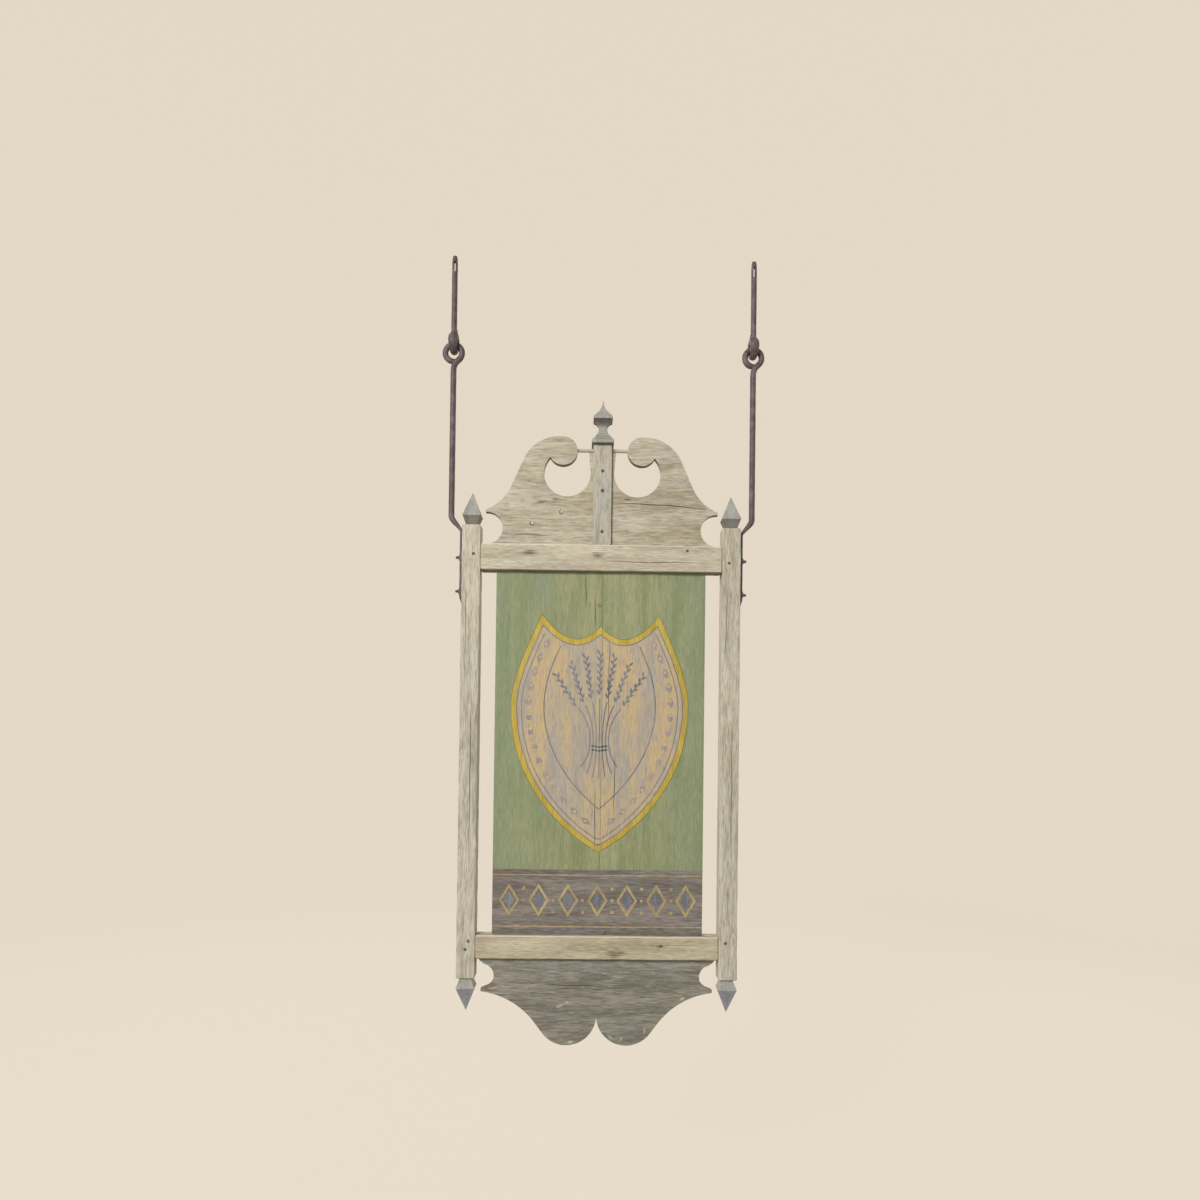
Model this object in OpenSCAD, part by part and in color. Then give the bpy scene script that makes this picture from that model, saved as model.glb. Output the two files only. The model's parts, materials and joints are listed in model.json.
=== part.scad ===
// Hanging tavern sign: a painted panel in a post-and-rail frame, crested by a scrolled pediment,
// hung on two wrought irons from eyebolts that pass up through an overhead beam.
// Origin: midway between the eyebolt shanks, at the underside of the beam. +Z up, the front faces -Y.

/* [Posts] */
// Width of each post, seen from the front
post_w = 44; // [36:1:60]
// Depth of each post, front to back
post_d = 44; // [38:1:70]
// Length of each post
post_l = 1075; // [900:1:1400]
// Clear width between the posts
opening_w = 576; // [500:1:700]
// Chamfer on the long edges of the posts
post_chamfer = 1.5; // [0.5:0.5:4]

/* [Rails] */
// Depth of both rails, front to back
rail_d = 42; // [36:1:44]
// Height of the top rail
top_rail_h = 64; // [56:1:80]
// Height of the bottom rail
bottom_rail_h = 56; // [52:1:80]
// Post end above the top rail
top_rail_drop = 44; // [40:1:80]
// Post end below the bottom rail
bottom_rail_rise = 46; // [40:1:80]
// Length of the tenons in the posts
tenon_l = 30; // [26:1:34]
// Thickness of the tenons
tenon_t = 14; // [10:1:18]
// Shoulder above and below each tenon
tenon_shoulder = 6; // [3:1:7]
// Diameter of the pegs that lock the tenons
peg_d = 8; // [6:1:9]
// Distance of the pegs from the inner face of the post
peg_inset = 16; // [12:1:20]
// Heights of the left and right pegs above the middle of the top rail
top_peg_rise = [6, -8];
// Height of the lower pegs above the middle of the bottom rail
bottom_peg_rise = 14; // [-16:1:16]
// How far the pegs stand proud of the post
peg_proud = 1; // [0.5:0.5:2]

/* [Panel] */
// Thickness of the panel boards
panel_t = 16; // [12:1:20]
// Open gap between the panel and each post
panel_gap = 38; // [20:1:60]
// Depth of the panel grooves in the rails
groove_depth = 12; // [8:1:14]
// Joint between the two boards, to the right of the middle
panel_joint_x = 5; // [-30:1:30]
// Diameter of the dowels between the boards
panel_dowel_d = 8; // [6:1:9]
// Length of those dowels
panel_dowel_l = 60; // [40:1:80]
// Distance between those dowels
panel_dowel_pitch = 280; // [200:1:340]

/* [Pediment] */
// Thickness of the pediment and skirt boards
board_t = 18; // [14:1:20]
// Gap between the pediment and each post
pediment_gap = 10; // [4:1:30]
// Height of the ear's tip above the rail
ear_z = 83; // [81:1:95]
// Blunt end of the ear
ear_tip = 6; // [3:1:8]
// Radius of the round notch under the ear
ear_notch_r = 38; // [34:1:38]
// Distance of that notch's centre from the board's end
ear_notch_in = 3; // [0:0.5:10]
// Radius of the hollow curve above the ear
hollow_r = 108; // [90:1:125]
// Distance of the ear's tip from the straight line of the scroll's back
ear_out = 32; // [26:1:38]
// Radius of the scroll's top
scroll_r = 95; // [86:1:104]
// Distance of the scroll's centre from the middle
scroll_x = 102; // [95:1:112]
// Height of the scroll's top above the rail
scroll_h = 262; // [250:1:274]
// Radius of the scroll's rolled end
volute_r = 34.5; // [30:0.5:40]
// Lean of the rolled end towards the middle, in degrees
volute_turn = 7; // [0:1:16]
// Radius of the round opening inside the scroll
opening_r = 56; // [50:1:60]
// Distance of that opening's centre from the middle
opening_x = 84; // [78:1:92]
// Height of that opening's centre above the rail
opening_z = 173; // [162:1:184]
// Half width of the tongue at its top
tongue_w = 32; // [28:1:40]
// Gap between the tongue and the tie rods
tongue_gap = 2.5; // [1:0.5:8]

/* [Centre post] */
// Width of the centre post
centre_w = 44; // [38:1:50]
// Depth of the centre post, front to back
centre_d = 34; // [30:1:44]
// Diameter of the tie rods from the scrolls to the centre post
tie_d = 9; // [6:0.5:9]
// Depth of the tie rods' sockets
tie_socket = 12; // [8:1:13]
// Height of the tie rods above the middle of the rolled ends
tie_rise = 3.2; // [0:0.2:10]
// Distance of the tie rods below the top of the centre post
tie_drop = 11; // [9:1:20]
// Heights of the centre post's nails above the rail
centre_nail_heights = [32, 130, 177];
// Nails in the left half of the pediment, from the middle of the rail's top
pediment_nails_at = [[-96, 80], [-166, 52]];

/* [Skirt] */
// Gap between the skirt and each post
skirt_gap = 8; // [4:1:30]
// Depth of the skirt below the rail
skirt_h = 205; // [185:1:230]
// Depth of the cusp between the two lobes
cusp_h = 139; // [120:1:150]
// Distance of each lobe's lowest point from the middle
lobe_x = 71; // [60:1:84]
// Radius of the hollow curve beside the lobes
sweep_r = 190; // [150:1:220]
// Distance of the skirt's ear from the straight line of the lobe's flank
flank_out = 59; // [50:1:66]
// Depth of the skirt's ear below the rail
skirt_ear_h = 79; // [74:1:90]
// Blunt end of the skirt's ear
skirt_ear_tip = 6; // [3:1:8]
// Setback of the skirt's ear from its top corner
skirt_ear_in = 5; // [0:0.5:12]
// Lip at the skirt's top corner
skirt_lip = 6; // [3:1:8]
// Radius of the round notch above the skirt's ear
skirt_notch_r = 28; // [22:1:30]
// Depth of that notch's centre below the rail
skirt_notch_h = 42; // [38:1:44]
// Distance of that notch's centre from the top corner
skirt_notch_in = 8; // [4:0.5:14]
// Direction from the notch's centre to its upper end, in degrees
skirt_notch_from = 100; // [95:1:110]
// Direction from the notch's centre to its lower end, in degrees
skirt_notch_to = 255; // [245:1:260]
// Slope of the lip at the top corner
skirt_lip_in = 2; // [0:0.5:4]

/* [Dowels and nails] */
// Diameter of the dowels that hold the pediment and the skirt
board_dowel_d = 9; // [6:1:10]
// Depth of those dowels in the rails
dowel_in_rail = 24; // [16:1:26]
// Depth of those dowels in the boards
dowel_in_board = 30; // [20:1:40]
// Distance of the inner dowels from the middle
dowel_x = 76; // [60:1:100]
// Wood between the outer dowels and the notch
dowel_edge = 30; // [20:1:50]
// Diameter of the nails
nail_d = 3.2; // [2.4:0.2:4]
// Diameter of the nail heads
nail_head_d = 8.5; // [6:0.5:10]
// Height of the nail heads
nail_head_h = 2.2; // [1.5:0.1:3]
// Diameter of the nail heads at their crown
nail_crown_d = 3.4; // [2.4:0.2:5]
// How far the nails come through behind
nail_proud = 2; // [1:0.5:3]
// Wood left behind the centre post's nails
nail_cover = 2; // [1:0.5:4]

/* [Finials] */
// Width of the post finials at the foot
finial_foot = 28; // [24:1:36]
// Width of the post finials at the rim
finial_rim = 44; // [38:1:52]
// Height of the rim above the foot
finial_rim_h = 23; // [18:1:30]
// Height of the point above the rim
finial_point_h = 56.5; // [40:0.5:66]
// Diameter of the finials' round tenons
finial_pin_d = 16; // [12:1:20]
// Length of the post finials' tenons
finial_pin_l = 28; // [20:1:32]
// Width of the centre finial's plinth
plinth_w = 53; // [46:1:60]
// Height of the plinth
plinth_h = 10; // [8:1:14]
// Height of each of the two steps above the plinth
step_h = 6; // [4:1:8]
// Setback of each step
step_in = 4.2; // [2:0.2:5]
// Width of the neck at its thinnest
neck_w = 20.4; // [17:0.2:26]
// Height of the neck
neck_h = 39; // [30:1:46]
// Width of the block above the neck
block_w = 46; // [40:1:54]
// Height of the block
block_h = 6; // [2:0.5:12]
// Height of the hollow spire
spire_h = 43; // [36:1:56]
// Diameter of the centre finial's tenon
centre_pin_d = 14; // [10:1:16]
// Length of the centre finial's tenon
centre_pin_l = 18; // [12:1:19]
// Width of the shelf at the foot of the neck
shelf_w = 32; // [26:1:36]
// Setback of the spire's foot from the edge of the block
spire_in = 1; // [0.5:0.5:6]
// Height of the ledge between the block and the spire
spire_ledge = 0.5; // [0.5:0.5:3]
// Width of the spire at its very tip
spire_tip = 2.2; // [1.6:0.2:4]

/* [Irons] */
// Drop from the beam to the tops of the posts
hang_drop = 471; // [400:1:600]
// Distance of the hanging rods from the outer faces of the posts
rod_standoff = 29; // [24:1:40]
// Diameter of the eyebolts' shanks
shank_d = 14; // [12:1:16]
// Length of the shanks above the beam's underside
shank_l = 181; // [150:1:240]
// Taper at the end of the shanks
shank_taper = 18; // [8:1:20]
// Diameter of the shanks at their very end
shank_tip_d = 9.5; // [8:0.5:12]
// Width of the forelock slot near the end of the shanks
slot_w = 4.4; // [4.2:0.2:5]
// Length of the forelock slot
slot_l = 26; // [20:1:36]
// Iron between the slot and the end of the shank
slot_end = 14; // [12:1:18]
// Diameter of the bar in the eyebolts' eyes
eye_bar_d = 16; // [14:0.5:18]
// Diameter of the hole in the eyebolts' eyes
eye_hole_d = 20; // [18:0.5:24]
// Gap between the beam and the top of the eye
eye_drop = 5.4; // [4:0.2:10]
// Widest diameter of the eyebolts' swollen necks
swell_d = 25; // [20:1:28]
// Distance of the swelling from the eye's hole
swell_clear = 2; // [1:0.5:4]
// Diameter of the bar in the hanger rings
ring_bar_d = 14.2; // [12:0.2:15]
// Height of the hole in the hanger rings
ring_hole_d = 26; // [24:0.5:30]
// Straight seat at the top of the hanger rings
ring_seat = 5; // [3:0.5:8]
// Diameter of the hanging rods
rod_d = 14.4; // [12:0.2:15]
// Height of the crank from the rod to the strap
crank_h = 43; // [36:1:60]
// Strap's first touch below the top of the post
strap_drop = 18; // [8:1:24]
// Thickness of the straps
strap_t = 6.5; // [4:0.5:8]
// Width of the straps
strap_w = 25; // [20:1:32]
// Distance between the two bolts of a strap
bolt_pitch = 81; // [60:1:110]
// Strap below its lower bolt
strap_tail = 29; // [24:1:40]
// Length of the strap's drawn-out point
strap_point = 15; // [8:1:18]
// Width of the strap at its point
strap_point_w = 8; // [4:1:14]
// Thickness of the strap at its point
strap_point_t = 2.5; // [1.5:0.5:4]
// Radius of the strap's worn edges
strap_edge_r = 1.1; // [0.5:0.1:1.5]
// Diameter of the strap bolts
bolt_d = 7; // [5:0.5:8]
// Depth of the strap bolts in the posts
bolt_in = 20; // [16:1:22]
// How far the strap bolts stand out of the roves
bolt_out = 7; // [4:0.5:10]
// Taper at the hammered end of the strap bolts
bolt_taper = 1.8; // [1:0.2:3]
// Diameter of the roves
rove_d = 21; // [16:0.5:24]
// Thickness of the roves
rove_t = 3.6; // [2.5:0.1:5]
// Diameter of the roves at their crown
rove_crown_d = 10; // [9:0.5:14]

/* [Fits] */
// Clearance on each side of a wooden joint, a dowel or a nail
fit = 0.1; // [0.05:0.05:0.3]
// Spare depth at the bottom of a socket
end_room = 0.5; // [0.2:0.1:1]
// Gap between the linked irons
link_gap = 0.3; // [0.2:0.1:0.6]

/* [Hidden] */
$fn = 96;

weathered = "#b9b29b";
grey_wood = "#7a776b";
lead_grey = "#a09b98";
green_paint = "#87915f";
iron_black = "#5a504e";

// Margin by which a cut runs past the face that it opens
past = 1;
// Steps in each arc of an outline
arc_steps = 24;
// Steps in the bends of the irons and the hollows of the centre finial
bend_steps = 10;
// Share of the centre finial's neck that narrows, before it flares
neck_share = 0.44;
// How the neck flares and how the spire hollows, as powers
neck_flare = 2.4;
spire_hollow = 1.75;

// Heights of the frame
post_top = -hang_drop;
post_bottom = post_top - post_l;
top_rail_top = post_top - top_rail_drop;
top_rail_low = top_rail_top - top_rail_h;
top_rail_mid = top_rail_top - top_rail_h / 2;
bottom_rail_low = post_bottom + bottom_rail_rise;
bottom_rail_top = bottom_rail_low + bottom_rail_h;
bottom_rail_mid = bottom_rail_low + bottom_rail_h / 2;

// Distances from the middle
post_in = opening_w / 2;
post_mid = post_in + post_w / 2;
post_out = post_in + post_w;
rod_x = post_out + rod_standoff;
panel_side = post_in - panel_gap;

// Panel
panel_top = top_rail_low + groove_depth - end_room;
panel_low = bottom_rail_top - groove_depth;
panel_mid = (panel_top + panel_low) / 2;

// Eyes and rings: the ring's straight seat lies on the swing axis, just above the eye's bar
eye_r = (eye_hole_d + eye_bar_d) / 2;
eye_z = -eye_drop - eye_r - eye_bar_d / 2;
swing_z = eye_z - eye_hole_d / 2 + ring_bar_d / 2 + link_gap;
ring_r = (ring_hole_d + ring_bar_d) / 2;
ring_z = swing_z - ring_r;

// Straps and bolts
strap_top = post_top - strap_drop;
crank_top = strap_top + crank_h;
upper_bolt_z = top_rail_mid;
lower_bolt_z = upper_bolt_z - bolt_pitch;
strap_low = lower_bolt_z - strap_tail;

// Pediment
pediment_side = post_in - pediment_gap;
scroll_c = [scroll_x, scroll_h - scroll_r];
volute_c = scroll_c + (scroll_r - volute_r) * [-sin(volute_turn), cos(volute_turn)];
opening_c = [opening_x, opening_z];
ear_top = [pediment_side, ear_z];
ear_notch_c = [pediment_side - ear_notch_in, ear_z - ear_tip - ear_notch_r];
pediment_dowel_x = ear_notch_c.x - ear_notch_r - dowel_edge;
tie_z = volute_c.y + tie_rise;
centre_h = tie_z + tie_drop;
tongue_h = tie_z - tie_d / 2 - tongue_gap;
tie_tip = volute_c.x - sqrt(pow(volute_r, 2) - pow(tie_rise, 2)) + tie_socket;
tie_root = centre_w / 2 - tie_socket;

// Skirt
skirt_side = post_in - skirt_gap;
lobe_drop = skirt_h - cusp_h;
lobe_r = (pow(lobe_x, 2) + pow(lobe_drop, 2)) / (2 * lobe_drop);
lobe_c = [lobe_x, lobe_r - skirt_h];
skirt_ear = [skirt_side - skirt_ear_in, -skirt_ear_h];
skirt_notch_c = [skirt_side - skirt_notch_in, -skirt_notch_h];
skirt_dowel_x = skirt_notch_c.x - skirt_notch_r - dowel_edge;

// Points along an arc from one angle to another
function arc(c, r, from, to) =
    [for (i = [0:arc_steps]) let (a = from + (to - from) * i / arc_steps) c + r * [cos(a), sin(a)]];

// Where two circles meet, on the left of the line from the first centre to the second
function meet(c0, r0, c1, r1) =
    let (d = norm(c1 - c0), along = (r0 * r0 - r1 * r1 + d * d) / (2 * d), u = (c1 - c0) / d)
    c0 + along * u + sqrt(r0 * r0 - along * along) * [-u.y, u.x];

// Direction from one point to another, in degrees
function heading(a, b) = atan2(b.y - a.y, b.x - a.x);

// A right-hand half outline joined to its mirror image
function mirrored(half) =
    concat(half, [for (i = [len(half) - 1:-1:0]) if (half[i].x > 0) [-half[i].x, half[i].y]]);

// From a round to a tip: a straight line leaves the round and a hollow curve ends at the tip.
// side is 1 where the line leaves above the tip and -1 below. Gives [direction, hollow's centre, its radius]
function hollow_back(c, r, tip, out, hollow, side) =
    let (
        far = norm(tip - c),
        turn = heading(c, tip) + side * acos((r + out) / far),
        reach = sqrt(far * far - pow(r + out, 2)),
        bend = min(hollow, (reach * reach + out * out) / (2 * out)),
        run = reach - sqrt(2 * bend * out - out * out)
    )
    [turn, c + (r + bend) * [cos(turn), sin(turn)] + side * run * [sin(turn), -cos(turn)], bend];

// Right half of the pediment: foot, notch, ear, hollow, scroll, rolled end, opening, tongue
function pediment_half() =
    let (
        back = hollow_back(scroll_c, scroll_r, ear_top, ear_out, hollow_r, 1),
        turn = back[0],
        hollow_c = back[1],
        cusp = meet(volute_c, volute_r, opening_c, opening_r)
    )
    concat(
        [[pediment_side, 0], [pediment_side, ear_notch_c.y - ear_notch_r]],
        arc(ear_notch_c, ear_notch_r, 270, 90),
        [ear_top - [0, ear_tip]],
        arc(hollow_c, back[2], heading(hollow_c, ear_top) + 360, turn + 180),
        arc(scroll_c, scroll_r, turn, 90 + volute_turn),
        arc(volute_c, volute_r, 90 + volute_turn, heading(volute_c, cusp) + 360),
        arc(opening_c, opening_r, heading(opening_c, cusp), -180),
        [[tongue_w, tongue_h]]
    );

// Right half of the skirt: top corner, notch, ear, hollow sweep, lobe and cusp
function skirt_half() =
    let (
        flank = hollow_back(lobe_c, lobe_r, skirt_ear, flank_out, sweep_r, -1),
        turn = flank[0],
        sweep_c = flank[1]
    )
    concat(
        [[skirt_side, 0], [skirt_side - skirt_lip_in, -skirt_lip]],
        arc(skirt_notch_c, skirt_notch_r, skirt_notch_from, skirt_notch_to),
        [skirt_ear + [0, skirt_ear_tip]],
        arc(sweep_c, flank[2], heading(sweep_c, skirt_ear), turn + 180),
        arc(lobe_c, lobe_r, turn, heading(lobe_c, [0, -cusp_h]))
    );

// A board standing upright, its outline seen from the front
module board(outline, thick) {
    rotate([90, 0, 0])
        linear_extrude(thick, center = true)
            polygon(outline);
}

// A block centred on X and Y, standing on a given height
module block(w, d, h, z) {
    translate([-w / 2, -d / 2, z])
        cube([w, d, h]);
}

// A round bar along X between two places
module bar_x(d, from, to, z) {
    translate([from, 0, z])
        rotate([0, 90, 0])
            cylinder(d = d, h = to - from);
}

// A round bar along Y between two places
module bar_y(d, from, to, x, z) {
    translate([x, from, z])
        rotate([-90, 0, 0])
            cylinder(d = d, h = to - from);
}

// Mirrors what follows for the left side
module on_side(side) {
    if (side < 0)
        mirror([1, 0, 0])
            children();
    else
        children();
}

// Eyebolt: round shank with a forelock slot, swollen neck and turned eye
module eyebolt(side) {
    slot_top = shank_l - slot_end;
    color(iron_black)
        translate([side * rod_x, 0, 0])
            difference() {
                union() {
                    cylinder(d = shank_d, h = shank_l - shank_taper);
                    translate([0, 0, shank_l - shank_taper])
                        cylinder(d1 = shank_d, d2 = shank_tip_d, h = shank_taper);
                    eyebolt_neck();
                    translate([0, 0, eye_z])
                        rotate([0, 90, 0])
                            rotate_extrude()
                                translate([eye_r, 0])
                                    circle(d = eye_bar_d);
                }
                for (z = [slot_top - slot_w / 2, slot_top - slot_l + slot_w / 2])
                    bar_y(slot_w, -shank_d, shank_d, 0, z);
                block(slot_w, 2 * shank_d, slot_l - slot_w, slot_top - slot_l + slot_w / 2);
            }
}

// Swelling where the eye is welded to the shank, clear of the eye's hole
module eyebolt_neck() {
    clear_r = eye_hole_d / 2 + swell_clear;
    swell_z = eye_z + clear_r - past;
    difference() {
        union() {
            translate([0, 0, swell_z])
                cylinder(d1 = swell_d, d2 = shank_d, h = -swell_z);
            translate([0, 0, eye_z])
                cylinder(d1 = shank_d, d2 = swell_d, h = swell_z - eye_z);
        }
        bar_x(2 * clear_r, -swell_d, swell_d, eye_z);
    }
}

// Ring of a hanger: round ends with a short straight seat at the top and the bottom
module hanger_ring() {
    for (s = [-1, 1])
        translate([rod_x + s * ring_seat / 2, 0, ring_z])
            rotate([90, 0, 0])
                rotate([0, 0, -90 * s])
                    rotate_extrude(angle = 180)
                        translate([ring_r, 0])
                            circle(d = ring_bar_d);
    for (z = [swing_z, ring_z - ring_r])
        bar_x(ring_bar_d, rod_x - ring_seat / 2, rod_x + ring_seat / 2, z);
}

// One section of the forged bar: a rectangle with four points round each corner, circled by its flats
function forged_section(half_t, half_w, edge_r) =
    let (step = 22.5, r = edge_r / cos(step / 2))
    [for (q = [0:3]) for (i = [0:3])
        let (a = 90 * q + step * (i + 0.5), mid = 90 * q + 45)
        [sign(cos(mid)) * (half_t - edge_r) + r * cos(a), sign(sin(mid)) * (half_w - edge_r) + r * sin(a)]];

// A smooth start and stop from 0 to 1, and a value part way between two others
function ease(t) = t * t * (3 - 2 * t);
function between(a, b, t) = a + (b - a) * t;

// Stations of the hanger: [x, z, half thickness, half width, edge radius]
function hanger_stations() =
    let (r = rod_d / 2, t = strap_t / 2, w = strap_w / 2, point_t = strap_point_t / 2)
    concat(
        [[rod_x, ring_z - ring_r, r, r, r]],
        [for (i = [0:bend_steps])
            let (s = i / bend_steps, e = ease(s), half_t = between(r, t, e))
            [between(rod_x, post_out + half_t, e), crank_top - s * crank_h, half_t,
                between(r, w, e), between(r, strap_edge_r, e)]],
        [[post_out + t, strap_low + strap_point, t, w, strap_edge_r],
            [post_out + point_t, strap_low, point_t, strap_point_w / 2, min(strap_edge_r, point_t / 2)]]
    );

// Hanger: ring and rod cranked in to a flat strap on the outer face of the post
module hanger_iron() {
    stations = hanger_stations();
    rings = [for (s = stations) [for (p = forged_section(s[2], s[3], s[4])) [s[0] + p.x, p.y, s[1]]]];
    sides = len(rings[0]);
    last = (len(rings) - 1) * sides;
    skin = [for (i = [0:len(rings) - 2]) for (j = [0:sides - 1])
        let (k = (j + 1) % sides) each [
            [i * sides + j, (i + 1) * sides + k, (i + 1) * sides + j],
            [i * sides + j, i * sides + k, (i + 1) * sides + k]]];
    caps = [[for (j = [sides - 1:-1:0]) j], [for (j = [0:sides - 1]) last + j]];
    difference() {
        union() {
            hanger_ring();
            polyhedron([for (ring = rings) each ring], concat(skin, caps), convexity = 4);
        }
        for (z = [upper_bolt_z, lower_bolt_z])
            bar_x(bolt_d + 2 * fit, post_out - past, post_out + strap_t + past, z);
    }
}

module hanger(side) {
    color(iron_black)
        on_side(side)
            hanger_iron();
}

// Bolts driven through the straps into the posts, the upper ones on into the tenons
module strap_bolts() {
    out = post_out + strap_t + rove_t + bolt_out;
    color(iron_black)
        for (side = [-1, 1], z = [upper_bolt_z, lower_bolt_z])
            on_side(side) {
                bar_x(bolt_d, post_out - bolt_in, out - bolt_taper, z);
                translate([out - bolt_taper, 0, z])
                    rotate([0, 90, 0])
                        cylinder(d1 = bolt_d, d2 = bolt_d - 2 * bolt_taper, h = bolt_taper);
            }
}

// Domed roves under the bolt ends
module strap_roves() {
    color(iron_black)
        for (side = [-1, 1], z = [upper_bolt_z, lower_bolt_z])
            on_side(side)
                difference() {
                    translate([post_out + strap_t, 0, z])
                        rotate([0, 90, 0])
                            cylinder(d1 = rove_d, d2 = rove_crown_d, h = rove_t);
                    bar_x(bolt_d + 2 * fit, post_out, post_out + strap_t + rove_t + past, z);
                }
}

// Post with its mortises and the bores for pegs, bolts and finials
module post(side) {
    c = post_chamfer;
    w = post_w / 2;
    d = post_d / 2;
    color(weathered)
        on_side(side)
            difference() {
                translate([post_mid, 0, post_bottom])
                    linear_extrude(post_l)
                        polygon([[w - c, -d], [w, c - d], [w, d - c], [w - c, d],
                            [c - w, d], [-w, d - c], [-w, c - d], [c - w, -d]]);
                mortise(top_rail_low, top_rail_h);
                mortise(bottom_rail_low, bottom_rail_h);
                for (z = peg_heights(side))
                    peg_bore(z);
                for (z = [upper_bolt_z, lower_bolt_z])
                    bolt_bore(z);
                translate([post_mid, 0, post_top - finial_pin_l - end_room])
                    cylinder(d = finial_pin_d + 2 * fit, h = finial_pin_l + end_room + past);
                translate([post_mid, 0, post_bottom - past])
                    cylinder(d = finial_pin_d + 2 * fit, h = finial_pin_l + end_room + past);
            }
}

module mortise(rail_low, rail_h) {
    h = rail_h - 2 * tenon_shoulder + 2 * fit;
    t = tenon_t + 2 * fit;
    translate([post_in - past, -t / 2, rail_low + tenon_shoulder - fit])
        cube([tenon_l + end_room + past, t, h]);
}

// Heights of the two pegs in a post
function peg_heights(side) =
    [top_rail_mid + top_peg_rise[side < 0 ? 0 : 1], bottom_rail_mid + bottom_peg_rise];

module peg_bore(z) {
    bar_y(peg_d + 2 * fit, -post_d, post_d, post_in + peg_inset, z);
}

module bolt_bore(z) {
    bar_x(bolt_d + 2 * fit, post_out - bolt_in - end_room, post_out + past, z);
}

// Rail with its tenons, before the grooves and bores
module rail_blank(low, h) {
    block(opening_w, rail_d, h, low);
    block(opening_w + 2 * tenon_l, tenon_t, h - 2 * tenon_shoulder, low + tenon_shoulder);
}

module panel_groove(z) {
    block(2 * (panel_side + fit), panel_t + 2 * fit, groove_depth + past, z);
}

// Upright bores for the dowels of a board that stands on or hangs from a rail
module dowel_bores(outer_x, z, h) {
    for (x = [-outer_x, -dowel_x, dowel_x, outer_x])
        translate([x, 0, z])
            cylinder(d = board_dowel_d + 2 * fit, h = h);
}

module top_rail() {
    color(weathered)
        difference() {
            rail_blank(top_rail_low, top_rail_h);
            panel_groove(top_rail_low - past);
            dowel_bores(pediment_dowel_x, top_rail_top - dowel_in_rail - end_room,
                dowel_in_rail + end_room + past);
            for (side = [-1, 1])
                on_side(side) {
                    peg_bore(peg_heights(side)[0]);
                    bolt_bore(upper_bolt_z);
                }
        }
}

module bottom_rail() {
    color(weathered)
        difference() {
            rail_blank(bottom_rail_low, bottom_rail_h);
            panel_groove(bottom_rail_top - groove_depth);
            dowel_bores(skirt_dowel_x, bottom_rail_low - past, dowel_in_rail + end_room + past);
            for (side = [-1, 1])
                on_side(side)
                    peg_bore(peg_heights(side)[1]);
        }
}

// Pegs through posts and tenons, a little proud on both faces
module rail_pegs() {
    color(weathered)
        for (side = [-1, 1])
            on_side(side)
                for (z = peg_heights(side))
                    bar_y(peg_d, -post_d / 2 - peg_proud, post_d / 2 + peg_proud, post_in + peg_inset, z);
}

// Post finial: four-sided, flaring from its foot to the rim and then drawn up to a point
module post_finial() {
    union() {
        rotate([0, 0, 45]) {
            cylinder(d1 = finial_foot * sqrt(2), d2 = finial_rim * sqrt(2), h = finial_rim_h, $fn = 4);
            translate([0, 0, finial_rim_h])
                cylinder(d1 = finial_rim * sqrt(2), d2 = 0, h = finial_point_h, $fn = 4);
        }
        translate([0, 0, -finial_pin_l])
            cylinder(d = finial_pin_d, h = finial_pin_l + finial_rim_h / 2);
    }
}

module top_finial(side) {
    color(lead_grey)
        translate([side * post_mid, 0, post_top])
            post_finial();
}

module bottom_finial(side) {
    color(lead_grey)
        translate([side * post_mid, 0, post_bottom])
            rotate([180, 0, 0])
                post_finial();
}

// Panel boards, edge to edge, standing in the grooves of the rails
module panel_board(from, to) {
    color(green_paint)
        difference() {
            translate([from, -panel_t / 2, panel_low])
                cube([to - from, panel_t, panel_top - panel_low]);
            panel_dowel_set(panel_dowel_d + 2 * fit, panel_dowel_l + 2 * end_room);
        }
}

module panel_dowel_set(d, l) {
    for (i = [-1:1])
        bar_x(d, panel_joint_x - l / 2, panel_joint_x + l / 2, panel_mid + i * panel_dowel_pitch);
}

module panel_dowels() {
    color(weathered)
        panel_dowel_set(panel_dowel_d, panel_dowel_l);
}

// Nail driven from the front, with a rose head
module nail(x, z, face_y, length) {
    bar_y(nail_d, face_y, face_y + length, x, z);
    translate([x, face_y, z])
        rotate([90, 0, 0])
            cylinder(d1 = nail_head_d, d2 = nail_crown_d, h = nail_head_h);
}

module pediment_board() {
    color(weathered)
        difference() {
            translate([0, 0, top_rail_top])
                board(mirrored(pediment_half()), board_t);
            dowel_bores(pediment_dowel_x, top_rail_top - past, dowel_in_board + end_room + past);
            for (at = pediment_nails_at)
                bar_y(nail_d + 2 * fit, -board_t, board_t, at.x, top_rail_top + at.y);
            for (z = centre_nail_heights)
                bar_y(nail_d + 2 * fit, -board_t, board_t, 0, top_rail_top + z);
            for (side = [-1, 1])
                on_side(side)
                    bar_x(tie_d + 2 * fit, tie_root, tie_tip + end_room, top_rail_top + tie_z);
        }
}

module pediment_dowels() {
    color(weathered)
        for (x = [-pediment_dowel_x, -dowel_x, dowel_x, pediment_dowel_x])
            translate([x, 0, top_rail_top - dowel_in_rail])
                cylinder(d = board_dowel_d, h = dowel_in_rail + dowel_in_board);
}

module pediment_nails() {
    color(iron_black)
        for (at = pediment_nails_at)
            nail(at.x, top_rail_top + at.y, -board_t / 2, board_t + nail_proud);
}

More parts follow.
